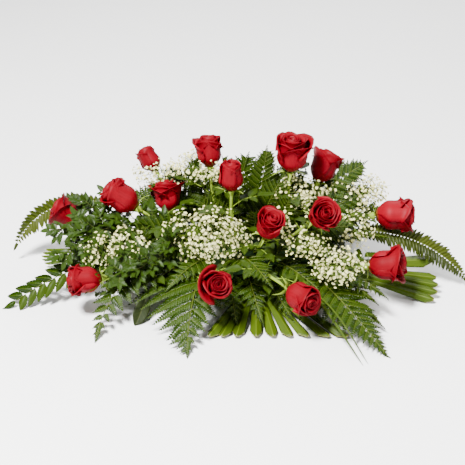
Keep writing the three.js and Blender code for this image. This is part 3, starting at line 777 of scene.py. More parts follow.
for name, palm in PALMS.items():
    draw = random.Random(name)
    hub = Vector(palm["hub"])
    bm = bmesh.new()
    stalk(bm, [Vector(palm["root"]).lerp(hub, k / 6) for k in range(7)], (PALM_STEM, PALM_STEM), 10)
    for tip, half in palm["tips"]:
        sheet(bm, 12, 24, blade_place(hub, tip, half, palm.get("face", UP), draw))
    thicken(piece(name + "_blades", bm, palm_green, "palm_leaf", name), PALM_THICK)


# Ferns
# Each frond is laid out flat, its rib along one axis, with its leaflets stamped on it, and is then
# bent over the same curve as in the solids. Leatherleaf ferns have pinnae of small toothed
# leaflets, sword ferns narrow straps, and the low frond at the left broad oval leaflets.

RIB = 1.2
# The lowest that a leaf lies, and how much of a rib stands in the foam.
LOWEST = 1.2
OUT_OF_FOAM = 42
# How many more pairs of pinnae than in the solids, and how much closer they sit towards the tip.
MORE_PINNAE = 3
CLOSING = 1.25
# How wide straps and ovals are for the room that they have.
FULLNESS = {"strap": 1.45, "oval": 1.2}
# The closest and the widest that leaflets sit along a pinna.
LEAFLET_PITCH = (3.0, 4.6)
# How far a pinna reaches, in shares of its frond's width, from the lowest pair at 0 to the tip at 1.
ENVELOPES = {
    "triangle": lambda x: 1.02 * (1 - x) ** 1.05 + 0.05,
    "spear": lambda x: 0.96 * (1 - x) ** 0.55 + 0.06,
    "ribbon": lambda x: min(1, 0.5 + 2.2 * x, 0.2 + 2.4 * (1 - x)),
    "even": lambda x: 0.75 + 0.25 * math.sin(math.pi * x),
}
FERN = {"kind": "pinnate", "shape": "triangle", "lean": 62, "arch": 0.0015, "tip": 11}
SWORD = {"kind": "strap", "shape": "ribbon", "lean": 70, "arch": 0.004, "face": (0, -0.7, 1), "tip": 17}
FRONDS = {
    "fern_front_left": {
        **FERN, "width": 68, "bare": 0.3, "pairs": 6,
        "path": ((-92, -34, 54), (-168, -64, 98), (-220, -124, 60), (-238, -197, 5)),
    },
    "fern_front": {
        **FERN, "width": 138, "right": 0.66, "bare": 0.16, "pairs": 7,
        "path": ((-52, -32, 50), (-74, -105, 98), (-88, -180, 48), (-90, -242, 5)),
    },
    "fern_front_right": {
        **FERN, "width": 84, "bare": 0.28, "pairs": 11,
        "path": ((84, -32, 44), (125, -105, 80), (178, -190, 42), (223, -245, 5)),
    },
    "fern_right": {
        **FERN, "width": 62, "bare": 0.3, "pairs": 7,
        "path": ((92, -22, 56), (140, -70, 88), (190, -115, 80), (226, -146, 52)),
    },
    "fern_middle": {
        **FERN, "face": (0.1, -0.4, 1), "width": 60, "bare": 0.3, "pairs": 7,
        "path": ((-6, -32, 62), (-4, -90, 104), (14, -130, 108), (40, -164, 88)),
    },
    "fern_top_left": {
        **FERN, "shape": "spear", "face": (0.1, -1, 0.3), "width": 46, "bare": 0.36, "pairs": 9, "arch": 0,
        "path": ((22, 14, 56), (24, 18, 130), (32, 16, 190), (40, 12, 240)),
    },
    "fern_top_right": {
        **FERN, "shape": "spear", "face": (-0.2, -1, 0.4), "width": 50, "bare": 0.36, "pairs": 9, "arch": 0,
        "path": ((72, 26, 58), (112, 30, 140), (165, 38, 180), (205, 42, 203)),
    },
    "fern_back_left": {
        **FERN, "width": 86, "bare": 0.24, "pairs": 7,
        "path": ((-72, 32, 52), (-112, 90, 96), (-160, 140, 60), (-202, 186, 7)),
    },
    "fern_back": {
        **FERN, "width": 96, "bare": 0.24, "pairs": 7,
        "path": ((2, 32, 52), (6, 95, 105), (10, 160, 62), (16, 212, 7)),
    },
    "fern_back_right": {
        **FERN, "width": 86, "bare": 0.24, "pairs": 7,
        "path": ((78, 32, 52), (125, 90, 96), (178, 140, 60), (221, 180, 7)),
    },
    "sword_fern_left": {
        **SWORD, "width": 26, "bare": 0.5, "pairs": 24,
        "path": ((-90, 24, 60), (-205, 66, 140), (-350, 92, 150), (-408, 66, 38)),
    },
    "sword_fern_right": {
        **SWORD, "width": 27, "bare": 0.36, "pairs": 34,
        "path": ((90, 8, 52), (200, 20, 120), (320, -4, 100), (386, -28, 20)),
    },
    "broad_frond_left": {
        "kind": "oval", "shape": "even", "lean": 48, "arch": 0.002, "face": (0, -0.8, 1),
        "width": 38, "bare": 0.32, "pairs": 11, "tip": 28,
        "path": ((-90, -14, 48), (-200, -45, 96), (-315, -72, 58), (-385, -95, 12)),
    },
}
# Shorter fronds tucked in between the flowers beside a longer one, in the same group: their
# curves and widths.
TUCKED = {
    "fern_middle": (
        (((-40, -30, 64), (-66, -76, 92), (-92, -112, 88), (-122, -138, 66)), 42),
        (((34, -30, 60), (58, -72, 82), (88, -104, 78), (124, -132, 56)), 42),
        (((4, -32, 44), (6, -90, 70), (16, -134, 54), (28, -172, 24)), 50),
        (((44, -32, 44), (66, -90, 64), (96, -134, 48), (122, -168, 22)), 50),
        (((-24, -34, 44), (-26, -90, 66), (-20, -134, 48), (-12, -170, 20)), 48),
        (((72, -34, 44), (98, -90, 64), (134, -130, 46), (168, -164, 22)), 52),
        (((24, -32, 44), (30, -80, 62), (52, -124, 50), (76, -162, 24)), 44),
        (((-64, -30, 70), (-88, -56, 108), (-112, -82, 112), (-140, -104, 98)), 40),
        (((66, -20, 70), (96, -46, 100), (132, -70, 104), (172, -92, 90)), 40),
    ),
    "fern_right": (
        (((96, -8, 60), (140, -14, 98), (192, -22, 110), (244, -32, 102)), 46),
        (((88, 4, 66), (128, 12, 104), (176, 12, 116), (230, 6, 108)), 46),
        (((90, -30, 52), (132, -76, 76), (176, -116, 66), (212, -146, 44)), 48),
        (((98, 4, 58), (142, 4, 112), (172, 2, 80), (204, -4, 12)), 54),
    ),
    "fern_front_right": (
        (((80, -34, 46), (112, -98, 70), (150, -156, 48), (180, -198, 20)), 58),
        (((88, -34, 46), (132, -98, 66), (180, -146, 48), (222, -176, 20)), 54),
    ),
    "fern_front_left": (
        (((-90, -34, 56), (-136, -64, 84), (-190, -96, 70), (-238, -118, 40)), 40),
        (((-98, 6, 58), (-142, 16, 112), (-174, 20, 80), (-208, 20, 12)), 54),
    ),
    "fern_top_left": (
        (((-4, 24, 70), (-10, 30, 126), (-8, 32, 180), (8, 30, 222)), 60),
        (((10, 6, 72), (26, 4, 112), (44, 2, 150), (60, 6, 184)), 54),
        (((-24, 26, 70), (-28, 40, 120), (-32, 54, 168), (-36, 62, 206)), 50),
        (((-46, 26, 70), (-58, 44, 120), (-72, 58, 164), (-86, 66, 200)), 52),
        (((-60, 24, 70), (-80, 42, 118), (-104, 58, 152), (-130, 70, 176)), 52),
        (((-76, 10, 70), (-108, 20, 112), (-144, 30, 136), (-186, 40, 146)), 50),
        (((12, -20, 72), (16, -34, 108), (20, -54, 140), (22, -70, 166)), 40),
        (((-20, -8, 74), (-34, -20, 112), (-50, -30, 142), (-68, -36, 168)), 44),
        (((-74, -16, 70), (-104, -28, 106), (-138, -36, 124), (-178, -44, 124)), 44),
    ),
    "fern_top_right": (
        (((34, 20, 72), (46, 24, 124), (60, 28, 166), (80, 34, 204)), 48),
        (((56, 22, 70), (76, 30, 122), (100, 40, 160), (132, 50, 186)), 50),
        (((80, 12, 68), (112, 18, 110), (152, 22, 136), (198, 26, 150)), 50),
        (((40, -10, 72), (54, -16, 112), (66, -26, 144), (76, -36, 172)), 42),
        (((72, -14, 70), (98, -26, 106), (134, -36, 126), (176, -44, 128)), 44),
        (((78, 22, 66), (108, 44, 116), (136, 62, 146), (168, 74, 166)), 48),
        (((86, 18, 62), (128, 40, 104), (170, 56, 130), (222, 66, 146)), 46),
        (((94, 14, 60), (140, 26, 106), (190, 40, 120), (244, 50, 112)), 46),
    ),
    "fern_back": (
        (((2, 32, 52), (-12, 68, 114), (-30, 106, 130), (-54, 142, 114)), 56),
        (((2, 32, 52), (22, 62, 112), (50, 104, 128), (80, 142, 114)), 56),
        (((-14, 30, 60), (-20, 68, 124), (-28, 98, 92), (-38, 124, 18)), 56),
        (((30, 30, 60), (38, 68, 124), (46, 98, 92), (58, 124, 18)), 56),
    ),
    "fern_back_left": (
        (((-60, 30, 66), (-84, 62, 112), (-112, 92, 128), (-146, 118, 120)), 52),
        (((-46, 30, 60), (-56, 66, 122), (-66, 96, 90), (-82, 122, 18)), 56),
        (((-96, 26, 60), (-122, 54, 116), (-144, 80, 84), (-168, 104, 18)), 54),
    ),
    "fern_back_right": (
        (((80, 30, 66), (106, 62, 108), (140, 92, 122), (176, 118, 112)), 52),
        (((66, 30, 60), (80, 66, 122), (94, 96, 90), (112, 122, 18)), 56),
        (((96, 20, 60), (132, 42, 116), (158, 60, 84), (184, 80, 18)), 54),
    ),
}

fern_leaf = leaf_material(
    "fern_leaf", (0.002, 0.007, 0.0001), (0.011, 0.027, 0.0003), (0.03, 0.055, 0.001), rough=0.2, veins=5
)
sword_leaf = leaf_material(
    "sword_leaf", (0.006, 0.011, 0.0002), (0.024, 0.034, 0.0006), (0.048, 0.06, 0.003), rough=0.34, veins=9
)
broad_leaf = leaf_material(
    "broad_leaf", (0.003, 0.009, 0.0002), (0.012, 0.029, 0.0006), (0.034, 0.056, 0.002), rough=0.22, veins=7
)
fern_rib = stem_material("fern_rib", (0.03, 0.045, 0.004), (0.08, 0.1, 0.012), rough=0.4)
FROND_LEAF = {"pinnate": fern_leaf, "strap": sword_leaf, "oval": broad_leaf}


def toothed(count, depth, taper, fullness):
    """The outline of a leaflet: its half width along its length, with teeth."""

    def outline(v):
        shape = math.sin(math.pi * clamp(v) ** fullness) ** 0.75 if v < 1 else 0
        tooth = 1 - depth * (round(v * count * 2) % 2)
        return shape * tooth * (1 - taper * v)

    return outline


def leaflet_mesh(across, along, outline, fold, droop, bow):
    """A leaflet 1 long and at most 1 wide along +X, with its outline, fold, droop and side bow."""

    def place(u, v):
        side = 2 * u - 1
        y = 0.5 * max(outline(v), 0.06 if v < 0.5 else 0) * side
        z = -fold * abs(y) + 0.06 * math.sin(math.pi * v) - droop * v * v
        return Vector((v, y + bow * v * v, z))

    return template(lambda bm: sheet(bm, across, along, place))


def strap(v):
    return min(1, 0.75 + v) * (1 - v**5) * (1 - 0.3 * v)


LEAFLETS = {
    "pinnate": leaflet_mesh(2, 6, toothed(3, 0.2, 0.3, 0.7), fold=0.35, droop=0.14, bow=0.08),
    "tucked": leaflet_mesh(2, 4, toothed(2, 0.2, 0.3, 0.7), fold=0.35, droop=0.14, bow=0.08),
    "strap": leaflet_mesh(4, 12, strap, fold=0.3, droop=0.12, bow=0.05),
    "oval": leaflet_mesh(6, 14, toothed(7, 0.08, 0.15, 0.8), fold=0.3, droop=0.12, bow=0.04),
}


def bezier(points):
    a, b, c, d = [Vector(p) for p in points]

    def curve(t):
        s = 1 - t
        return a * s**3 + b * (3 * s * s * t) + c * (3 * s * t * t) + d * t**3

    return curve


def frond_bend(frond, path):
    """Carries a point laid out flat, (along the rib, across it, above it), to its place."""
    face = Vector(frond.get("face", UP)).normalized()

    def bend(flat):
        point, forward = path.at(flat.x)
        across = forward.cross(face).normalized()
        out = across.cross(forward).normalized()
        point = point + across * flat.y + out * (flat.z - frond["arch"] * flat.y * flat.y)
        point.z = max(point.z, LOWEST + 0.02 * flat.z)
        return point

    return bend


def lay_pinna(leaves, ribs, mesh, at, side, reach, half, lean, draw):
    """One pinna of a leatherleaf fern, flat: its rachis, two rows of leaflets and a pointed end."""
    heading = Vector((math.cos(lean), side * math.sin(lean), 0))
    across = Vector((-heading.y, heading.x, 0)) * side
    lift = draw.uniform(-0.1, 0.13)
    sag = draw.uniform(0.0, 0.0016)

    def line(d):
        return at + heading * d - across * 0.0012 * d * d + UP * (lift * d - sag * d * d)

    stalk(ribs, [line(reach * k / 5) for k in range(6)], (0.55, 0.2), 4)
    pitch = clamp(half * 0.42, *LEAFLET_PITCH)
    count = max(3, int(reach / pitch))
    for k in range(count + 1):
        d = reach * (k + 0.45) / (count + 1)
        share = d / reach
        size = half * (1 - 0.94 * share**1.35) * min(1, 0.75 + 2 * share)
        size = size * draw.uniform(0.92, 1.08) + 0.7
        for row in (-1, 1):
            wide = min(pitch * 1.65 * (1 - 0.5 * share**2), 1.4 * size)
            aim = heading * 0.62 + across * row * 0.8
            if k == count and row == 1:
                d = reach - pitch
                size, wide = 1.7 * pitch, 0.7 * pitch
                aim = heading
            up = UP + across * row * draw.uniform(-0.05, 0.3) + heading * draw.uniform(-0.15, 0.1)
            set_leaflet(leaves, mesh, line(d), aim.normalized(), up.normalized(), size, row * side * wide)


def lay_leaflet(leaves, mesh, at, side, reach, wide, lean, draw):
    """One strap or oval leaflet, flat, with side 0 for the one that points on from the rib."""
    heading = Vector((math.cos(lean), side * math.sin(lean), draw.uniform(-0.12, 0.1)))
    up = Vector((draw.uniform(-0.25, 0.15), side * draw.uniform(-0.2, 0.1), 1)).normalized()
    set_leaflet(leaves, mesh, at, heading.normalized(), up, reach, wide * (side or 1))


def lay_frond(frond, mesh, draw):
    """The leaflets and the ribs of one frond, bent to its place."""
    path = Path(bezier(frond["path"]))
    length = path.length
    start = max(OUT_OF_FOAM, frond["bare"] * length)
    pinnate = frond["kind"] == "pinnate"
    pairs = frond["pairs"] + (MORE_PINNAE if pinnate else 0)
    closing = CLOSING if pinnate else 1.0
    lean = math.radians(frond["lean"])
    leaves = new_sheets()
    ribs = bmesh.new()
    girth = (RIB, RIB * 0.9, RIB * 0.55, 0.4)
    stalk(ribs, [Vector((length * k / 40, 0, 0)) for k in range(41)], girth, 8)
    for i in range(pairs):
        left = 1 - (i + 0.5) / (pairs + 0.5)
        share = 1 - left**closing
        pitch = (length - start) / (pairs + 0.5) * closing * left ** (closing - 1)
        full = frond["width"] * ENVELOPES[frond["shape"]](share)
        for side in (-1, 1):
            at = Vector((lerp(start, length, share) + side * 0.12 * pitch, side * RIB * 0.5, 0))
            reach = full * draw.uniform(0.94, 1.03) * (frond.get("right", 1) if side < 0 else 1)
            half = 0.5 * pitch * math.sin(lean)
            tilt = lean - 0.25 * share + draw.uniform(-0.06, 0.06)
            if pinnate:
                lay_pinna(leaves, ribs, mesh, at, side, reach, min(2.1 * half, 0.4 * reach), tilt, draw)
            else:
                wide = min(2 * half * FULLNESS[frond["kind"]], 0.6 * reach)
                lay_leaflet(leaves, mesh, at, side, reach, wide, tilt, draw)
    tip = frond["tip"]
    if pinnate:
        back = Vector((length - 2.6 * tip, 0, 0))
        lay_pinna(leaves, ribs, mesh, back, 1, 3.6 * tip, 0.75 * tip, 0, draw)
    else:
        lay_leaflet(leaves, mesh, Vector((length - 1, 0, 0)), 0, tip, 0.42 * tip, 0, draw)
    bend = frond_bend(frond, path)
    for bm in (leaves, ribs):
        for vert in bm.verts:
            vert.co = bend(vert.co)
        clear_blooms(bm)
    return leaves, ribs


for name, frond in FRONDS.items():
    draw = random.Random(name)
    whole = lay_frond(frond, LEAFLETS[frond["kind"]], draw)
    for path, width in TUCKED.get(name, ()):
        smaller = {**frond, "path": path, "width": width, "bare": 0.2, "pairs": 5}
        for bm, part in zip(whole, lay_frond(smaller, LEAFLETS["tucked"], draw)):
            join(bm, part, Matrix())
    leaves, ribs = whole
    piece(name + "_leaflets", leaves, FROND_LEAF[frond["kind"]], "fern_leaf", name)
    piece(name + "_ribs", ribs, fern_rib, "fern_leaf", name)


# Leafy stems, hanging leaf and grass
# Two branched stems are crowded with small leathery leaflets, glossy and bluish where they catch
# the light. One large leaf hangs at the left, its dark brownish green partly its own colour and
# partly painted shade, and two grass blades run out at the right front.

# Each stem's curve, its branches as how far up they fork and where they end, how many sprigs it
# has and how far they reach, and the length of its leaflets.
LEAFY = {
    "mastic_left": {
        "path": ((-88, -20, 60), (-150, -26, 114), (-215, -34, 124), (-268, -38, 118)),
        "branches": (
            (0.2, (-176, -10, 150)), (0.35, (-222, -4, 160)), (0.5, (-268, 2, 146)), (0.3, (-186, -58, 84)),
            (0.45, (-240, -66, 82)), (0.6, (-296, -62, 90)), (0.7, (-312, -24, 112)), (0.55, (-268, -30, 74)),
        ),
        "sprigs": 22, "reach": 32, "size": 16,
    },
    "mastic_front_left": {
        "path": ((-78, -36, 62), (-115, -80, 104), (-165, -112, 96), (-206, -128, 78)),
        "branches": (
            (0.25, (-122, -84, 124)), (0.4, (-168, -122, 92)),
            (0.5, (-200, -92, 92)), (0.6, (-236, -110, 60)),
        ),
        "sprigs": 18, "reach": 28, "size": 15,
    },
}
HANGING_LEAF = {
    "path": ((-68, -34, 46), (-108, -70, 72), (-146, -98, 68), (-156, -116, 46)),
    "face": (0.3, -0.9, 0.6), "half": 13, "length": 66, "arch": 0.004,
}
# The pairs of leaflets on a sprig, and the sprigs on a branch.
SPRIG_PAIRS = 4
BRANCH_SPRIGS = 8
HANGING_LEAF_THICK = 0.4
HANGING_LEAF_OUTLINE = (0.12, 0.42, 0.68, 0.86, 0.97, 1.0, 0.94, 0.78, 0.5, 0.0)
HANGING_TWIG = ((-104, -74, 61), (-116, -92, 44), (-124, -108, 24), (-130, -118, 8))
# The longer grass blade, how far up it the other one forks off, and how that one bows and ends.
GRASS = {
    "path": ((54, -34, 60), (96, -130, 96), (150, -215, 30), (184, -274, 3)),
    "fork": 0.35, "bow": (3, -1, 12), "end": (192, -269, 3),
    "widths": (5, 3), "thick": 0.5, "lowest": 0.8,
}

mastic_leaf = leaf_material(
    "mastic_leaf", (0.0026, 0.009, 0.0004), (0.01, 0.029, 0.0011), (0.026, 0.048, 0.004), rough=0.18, veins=6
)
# Painted shade: the hanging leaf's dark brownish green is darker than its own colour, standing in for the
# shade it hangs in.
dark_leaf_painted_shade = leaf_material(
    "dark_leaf_painted_shade", (0.004, 0.007, 0.001), (0.011, 0.017, 0.002), (0.026, 0.032, 0.006),
    rough=0.5, veins=9, glow=0.02,
)
mastic_stem = stem_material("mastic_stem", (0.03, 0.035, 0.008), (0.09, 0.1, 0.02))
grass_green = stem_material("grass_green", (0.012, 0.028, 0.0006), (0.045, 0.07, 0.002), rough=0.4)
mastic_leaflet = template(lambda bm: sheet(bm, 4, 5, leaflet_place(0.27, 0.3, 0.14)))


def lay_sprigs(leaves, stems, path, count, start, stem, draw):
    """Sprigs round a branch, a golden angle apart, each with pairs of leaflets and one at its end."""
    face = Vector((0, -0.5, 1)).normalized()
    for i in range(count + 1):
        share = lerp(start, 1, i / count)
        point, forward = path.at(share * path.length)
        across = forward.cross(face).normalized()
        turn = i * GOLDEN
        aim = forward
        if i < count:
            out = across * math.cos(turn) + face * (0.2 + 0.8 * math.sin(turn))
            aim = (forward * 0.75 + out).normalized()
        reach = stem["reach"] * draw.uniform(0.75, 1.05) * (1 - 0.25 * share)
        tip = point + aim * reach + face * draw.uniform(-2, 4)
        sprig = bowed(point, tip, forward * 2, 8)
        stalk(stems, sprig.row(4), (0.6, 0.35), 4)
        up = (face + across * draw.uniform(-0.5, 0.5)).normalized()
        for k in range(SPRIG_PAIRS):
            at, heading = sprig.at(sprig.length * lerp(0.3, 0.9, k / (SPRIG_PAIRS - 1)))
            for row in (-1, 1):
                beside = heading.cross(up).normalized() * row
                leaf_aim = (heading * 0.7 + beside + up * draw.uniform(-0.1, 0.4)).normalized()
                leaf_up = (up + beside * draw.uniform(-0.5, 0.5)).normalized()
                size = stem["size"] * draw.uniform(0.8, 1.15)
                set_leaflet(leaves, mastic_leaflet, at, leaf_aim, leaf_up, size)
        at, heading = sprig.at(sprig.length)
        set_leaflet(leaves, mastic_leaflet, at, heading, up, stem["size"] * 1.15)


for name, stem in LEAFY.items():
    draw = random.Random(name)
    path = Path(bezier(stem["path"]))
    leaves = new_sheets()
    stems = bmesh.new()
    stalk(stems, path.row(24), (1.3, 1.2, 0.7), 8)
    lay_sprigs(leaves, stems, path, stem["sprigs"], 0.22, stem, draw)
    for share, end in stem["branches"]:
        fork, forward = path.at(share * path.length)
        branch = bowed(fork, Vector(end), forward * 6, 12)
        stalk(stems, branch.row(8), (0.9, 0.5), 6)
        lay_sprigs(leaves, stems, branch, BRANCH_SPRIGS, 0.3, stem, draw)
    clear_blooms(leaves)
    piece(name + "_leaflets", leaves, mastic_leaf, "glossy_leaf", name)
    piece(name + "_stems", stems, mastic_stem, "rose_green", name)

path = Path(bezier(HANGING_LEAF["path"]))
face = Vector(HANGING_LEAF["face"]).normalized()
stems = bmesh.new()
stalk(stems, path.row(20), (1.3, 1.1), 8)
stalk(stems, Path(through([Vector(p) for p in HANGING_TWIG])).row(10), (1.1, 1.3), 7)


def place_hanging(u, v):
    side = 2 * u - 1
    point, forward = path.at(path.length + HANGING_LEAF["length"] * v)
    across = forward.cross(face).normalized()
    out = across.cross(forward).normalized()
    width = HANGING_LEAF["half"] * along_list(HANGING_LEAF_OUTLINE, v) * side
    lift = 0.18 * abs(width) - HANGING_LEAF["arch"] * width * width
    point += across * width + out * (lift + 0.8 * math.sin(11 * v) * side * side)
    point.z = max(point.z, LOWEST)
    return point


leaf = bmesh.new()
sheet(leaf, 10, 20, place_hanging)
thicken(piece("hanging_leaf_blade", leaf, dark_leaf_painted_shade, "glossy_leaf", "hanging_leaf"), HANGING_LEAF_THICK)
piece("hanging_leaf_stems", stems, mastic_stem, "rose_green", "hanging_leaf")


def grass_place(path, width):
    """Where the points of a grass blade go: a shallow channel that narrows to its tip."""

    def place(u, v):
        side = 2 * u - 1
        point, forward = path.at(path.length * v)
        across = forward.cross(UP).normalized()
        half = width * (1 - v**6) * min(1, 0.5 + 2 * v) * 0.5
        point = point + across * half * side + UP * 0.5 * abs(side) * half
        point.z = max(point.z, GRASS["lowest"])
        return point

    return place


first = Path(bezier(GRASS["path"]))
fork = first.at(GRASS["fork"] * first.length)[0]
second = bowed(fork, Vector(GRASS["end"]), Vector(GRASS["bow"]))
blades = bmesh.new()
for path, width in zip((first, second), GRASS["widths"]):
    sheet(blades, 4, 40, grass_place(path, width))
thicken(piece("grass_blades", blades, grass_green, "palm_leaf", "grass"), GRASS["thick"])


# Baby's breath
# Each spray forks from one stem into a cloud of cream double florets on hair-thin stalks. A floret
# is two or three whorls of small petals, and the youngest ones are still round buds.

FLORET = 2.8
FLORETS_APART = 5.8
FLORET_SIZES = (1.0, 0.95, 0.85)
FLORET_ODDS = (0.6, 0.25, 0.15)
# The half width of a clump, how far apart clumps sit, the fewest and the most florets tried in
# one, and how often a cloud tries to place one.
CLUMP = 14
CLUMP_APART = 12
CLUMP_FLORETS = (7, 13)
CLUMP_TRIES = 400
LIMBS = 6
# How far florets keep from a bloom and from the foam.
FLORET_CLEAR = 2.5
FOAM_CLEAR = 4
# Each spray's root and fork, and its clouds with their middle, half sizes and number of florets.
SPRAYS = (
    {"root": (-67, 32, 58), "fork": (-115, 66, 131), "clouds": (((-146, 72, 170), (44, 34, 28), 280),)},
    {
        "root": (-40, 38, 60), "fork": (-66, 66, 140),
        "clouds": (((-84, 78, 188), (40, 32, 30), 220), ((-50, 32, 196), (34, 20, 18), 90)),
    },
    {
        "root": (-98, -30, 54), "fork": (-154, -56, 86),
        "clouds": (((-194, -72, 104), (46, 34, 28), 200), ((-238, -70, 92), (34, 28, 28), 120)),
    },
    {"root": (-26, -14, 60), "fork": (-42, -46, 96), "clouds": (((-60, -78, 124), (86, 42, 56), 520),)},
    {
        "root": (46, 20, 60), "fork": (76, 20, 130),
        "clouds": (((94, 15, 168), (48, 38, 30), 220), ((70, -32, 140), (64, 24, 26), 90)),
    },
    {
        "root": (92, 30, 58), "fork": (168, 40, 112),
        "clouds": (
            ((210, 42, 146), (48, 38, 36), 330),
            ((190, -24, 108), (38, 30, 38), 150),
            ((150, 44, 162), (26, 20, 20), 70),
        ),
    },
    {"root": (80, -36, 54), "fork": (124, -100, 82), "clouds": (((151, -135, 102), (48, 34, 32), 230),)},
    {"root": (46, -30, 60), "fork": (70, -76, 106), "clouds": (((92, -108, 130), (50, 30, 24), 120),)},
)

cream, surface = new_material("floret_white")
_, _, along = uv_parts(cream)
tone = weighted(cream, (own_tone(cream), 0.6), (noise(cream, 300.0), 0.4))
white = mixed(cream, tone, (0.74, 0.7, 0.27), (0.95, 0.94, 0.6))
foot = step_between(cream, along, 0.35, 0.0)
white = tinted(cream, white, (0.4, 0.42, 0.1), foot, 0.45)
feed(cream, surface, "Base Color", white)
finish(surface, 0.7, 0.5)
let_light_through(cream, surface, white, 0.25)
twig_green = stem_material("twig_green", (0.04, 0.07, 0.008), (0.13, 0.18, 0.03))


def whorl(bm, count, length, half, rise, turn, along):
    """A ring of small cupped petals round the origin, facing +Z."""
    for k in range(count):
        angle = turn + 2 * math.pi * k / count

        def place(u, v):
            side = 2 * u - 1
            width = half * math.sin(math.pi * (0.12 + 0.76 * v)) * side
            r = length * v
            z = rise * v * v + 0.35 * abs(side) * half * v
            return Matrix.Rotation(angle, 3, "Z") @ Vector((r, width, z))

        sheet(bm, 2, along, place)


def open_floret(bm):
    whorl(bm, 5, 1.0, 0.52, 0.3, 0.0, 2)
    whorl(bm, 5, 0.8, 0.46, 0.6, 0.6, 1)
    whorl(bm, 3, 0.45, 0.36, 0.8, 0.2, 1)


def half_open_floret(bm):
    whorl(bm, 5, 0.75, 0.5, 0.75, 0.0, 2)
    whorl(bm, 4, 0.45, 0.4, 0.95, 0.6, 1)


def bud(bm):
    bm.loops.layers.uv.verify()
    stalk(bm, [UP * h for h in (0, 0.25, 0.6, 0.9)], (0.25, 0.5, 0.46, 0.12), 6)


FLORET_KINDS = (template(open_floret), template(half_open_floret), template(bud))


def any_direction(draw):
    turn = draw.uniform(0, 2 * math.pi)
    height = draw.uniform(-1, 1)
    flat = math.sqrt(1 - height * height)
    return Vector((flat * math.cos(turn), flat * math.sin(turn), height))


def inside_foam(point):
    near_x = abs(point.x) < FOAM["half_x"] + FOAM_CLEAR
    near_y = abs(point.y) < FOAM["half_y"] + FOAM_CLEAR
    return near_x and near_y and point.z < FOAM["top"] + FOAM_CLEAR


def lay_limbs(twigs, fork, middle, spread, draw):
    """The limbs of a cloud, from the fork out to two thirds of its size."""
    limbs = []
    for _ in range(LIMBS):
        aim = any_direction(draw)
        aim.z = abs(aim.z) * 0.6 + 0.05
        tip = middle + Vector((a * b * 0.62 for a, b in zip(aim, spread)))
        limb = bowed(fork, tip, any_direction(draw) * 3, 12)
        stalk(twigs, limb.row(6), (0.8, 0.4), 5)
        limbs.append(limb)
    return limbs


def lay_floret(florets, twigs, joint, tip, middle, draw):
    """One floret at the end of a hair-thin stalk, facing up and away from the middle of its cloud."""
    stem = (tip - joint).normalized()
    facing = (stem + (tip - middle).normalized() * 0.7 + UP * 0.5).normalized()
    bend = joint.lerp(tip, 0.55) + (stem - facing) * 1.2
    stalk(twigs, [joint, bend, tip], (0.24, 0.2), 3)
    kind = draw.choices((0, 1, 2), FLORET_ODDS)[0]
    size = FLORET * FLORET_SIZES[kind] * draw.uniform(0.85, 1.12)
    turn = UP.rotation_difference(facing) @ Quaternion(UP, draw.uniform(0, 6.3))
    set_down(florets, FLORET_KINDS[kind], in_place(tip - facing * 0.6, turn, size))


def lay_cloud(florets, twigs, fork, cloud, draw):
    """One cloud of florets: limbs from the fork, sprigs from the limbs and a loose clump on each."""
    middle, spread, count = Vector(cloud[0]), cloud[1], cloud[2]
    limbs = lay_limbs(twigs, fork, middle, spread, draw)
    ends = []
    taken = []
    for _ in range(CLUMP_TRIES):
        if len(taken) >= count:
            break
        aim = any_direction(draw)
        end = middle + Vector((a * b * (0.3 + 0.66 * draw.random() ** 0.6) for a, b in zip(aim, spread)))
        if any((other - end).length < CLUMP_APART for other in ends) or inside_bloom(end, 6):
            continue
        ends.append(end)
        limb = min(limbs, key=lambda one: min((p - end).length for p in one.points[3:]))
        start = min(limb.points[3:], key=lambda p: (p - end).length + 0.3 * (p - fork).length)
        sprig = bowed(start, end, any_direction(draw) * 1.5, 8)
        stalk(twigs, sprig.row(4), (0.42, 0.26), 4)
        for _ in range(draw.randint(*CLUMP_FLORETS)):
            tip = end + any_direction(draw) * CLUMP * draw.random() ** 0.45
            if inside_bloom(tip, FLORET_CLEAR) or inside_foam(tip):
                continue
            if any((other - tip).length < FLORETS_APART for other in taken):
                continue
            taken.append(tip)
            lay_floret(florets, twigs, sprig.points[draw.choice((5, 6, 7, 8))], tip, middle, draw)


for number, spray in enumerate(SPRAYS, 1):
    draw = random.Random(300 + number)
    root, fork = Vector(spray["root"]), Vector(spray["fork"])
    twigs = bmesh.new()
    florets = new_sheets()
    stalk(twigs, bowed(root, fork, Vector(), 20).row(8), (1.3, 1.0), 7)
    for cloud in spray["clouds"]:
        lay_cloud(florets, twigs, fork, cloud, draw)
    name = f"babys_breath_{number}"
    piece(name + "_florets", florets, cream, "babys_breath", name)
    piece(name + "_twigs", twigs, twig_green, "rose_green", name)


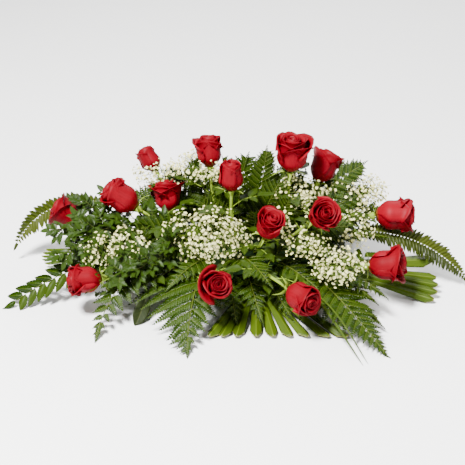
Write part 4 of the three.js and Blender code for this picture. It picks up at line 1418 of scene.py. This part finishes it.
# Floor, light and camera
# A plain pale floor, three soft studio lights and a bright surround. The camera looks down on the
# front at 27 degrees through a long lens.

FLOOR_HALF = 20
LIGHTS = (
    {"name": "key", "at": (-0.9, -1.4, 2.5), "power": 500, "size": 0.6},
    {"name": "fill", "at": (2.0, -1.3, 1.4), "power": 60, "size": 1.6},
    {"name": "back", "at": (0.4, 2.2, 2.2), "power": 90, "size": 1.6},
)
LIT_POINT = (0, 0, 0.1)
SURROUND = 0.22
CAMERA = {"target": (-0.018, 0, 0.094), "distance": 1.9, "elevation": 27, "lens": 85, "sensor": 36}

ground = bmesh.new()
bmesh.ops.create_grid(ground, x_segments=1, y_segments=1, size=FLOOR_HALF)
mesh = bpy.data.meshes.new("floor")
ground.to_mesh(mesh)
ground.free()
floor = bpy.data.objects.new("floor", mesh)
bpy.context.scene.collection.objects.link(floor)
floor_pale, surface = new_material("floor_pale")
surface.inputs["Base Color"].default_value = (0.86, 0.86, 0.85, 1)
finish(surface, 0.8, 0.5)
mesh.materials.append(floor_pale)

for light in LIGHTS:
    lamp = bpy.data.lights.new(light["name"], "AREA")
    lamp.energy = light["power"]
    lamp.size = light["size"]
    made = bpy.data.objects.new(light["name"], lamp)
    made.location = light["at"]
    aim = Vector(LIT_POINT) - Vector(light["at"])
    made.rotation_euler = aim.to_track_quat("-Z", "Y").to_euler()
    bpy.context.scene.collection.objects.link(made)

world = bpy.data.worlds.new("surround")
bpy.context.scene.world = world
world.use_nodes = True
world.node_tree.nodes["Background"].inputs["Color"].default_value = (1, 1, 1, 1)
world.node_tree.nodes["Background"].inputs["Strength"].default_value = SURROUND

elevation = math.radians(CAMERA["elevation"])
back = Vector((0, -math.cos(elevation), math.sin(elevation))) * CAMERA["distance"]
camera = bpy.data.objects.new("camera", bpy.data.cameras.new("camera"))
camera.data.lens = CAMERA["lens"]
camera.data.sensor_width = CAMERA["sensor"]
camera.location = Vector(CAMERA["target"]) + back
camera.rotation_euler = (math.pi / 2 - elevation, 0, 0)
bpy.context.scene.collection.objects.link(camera)
bpy.context.scene.camera = camera
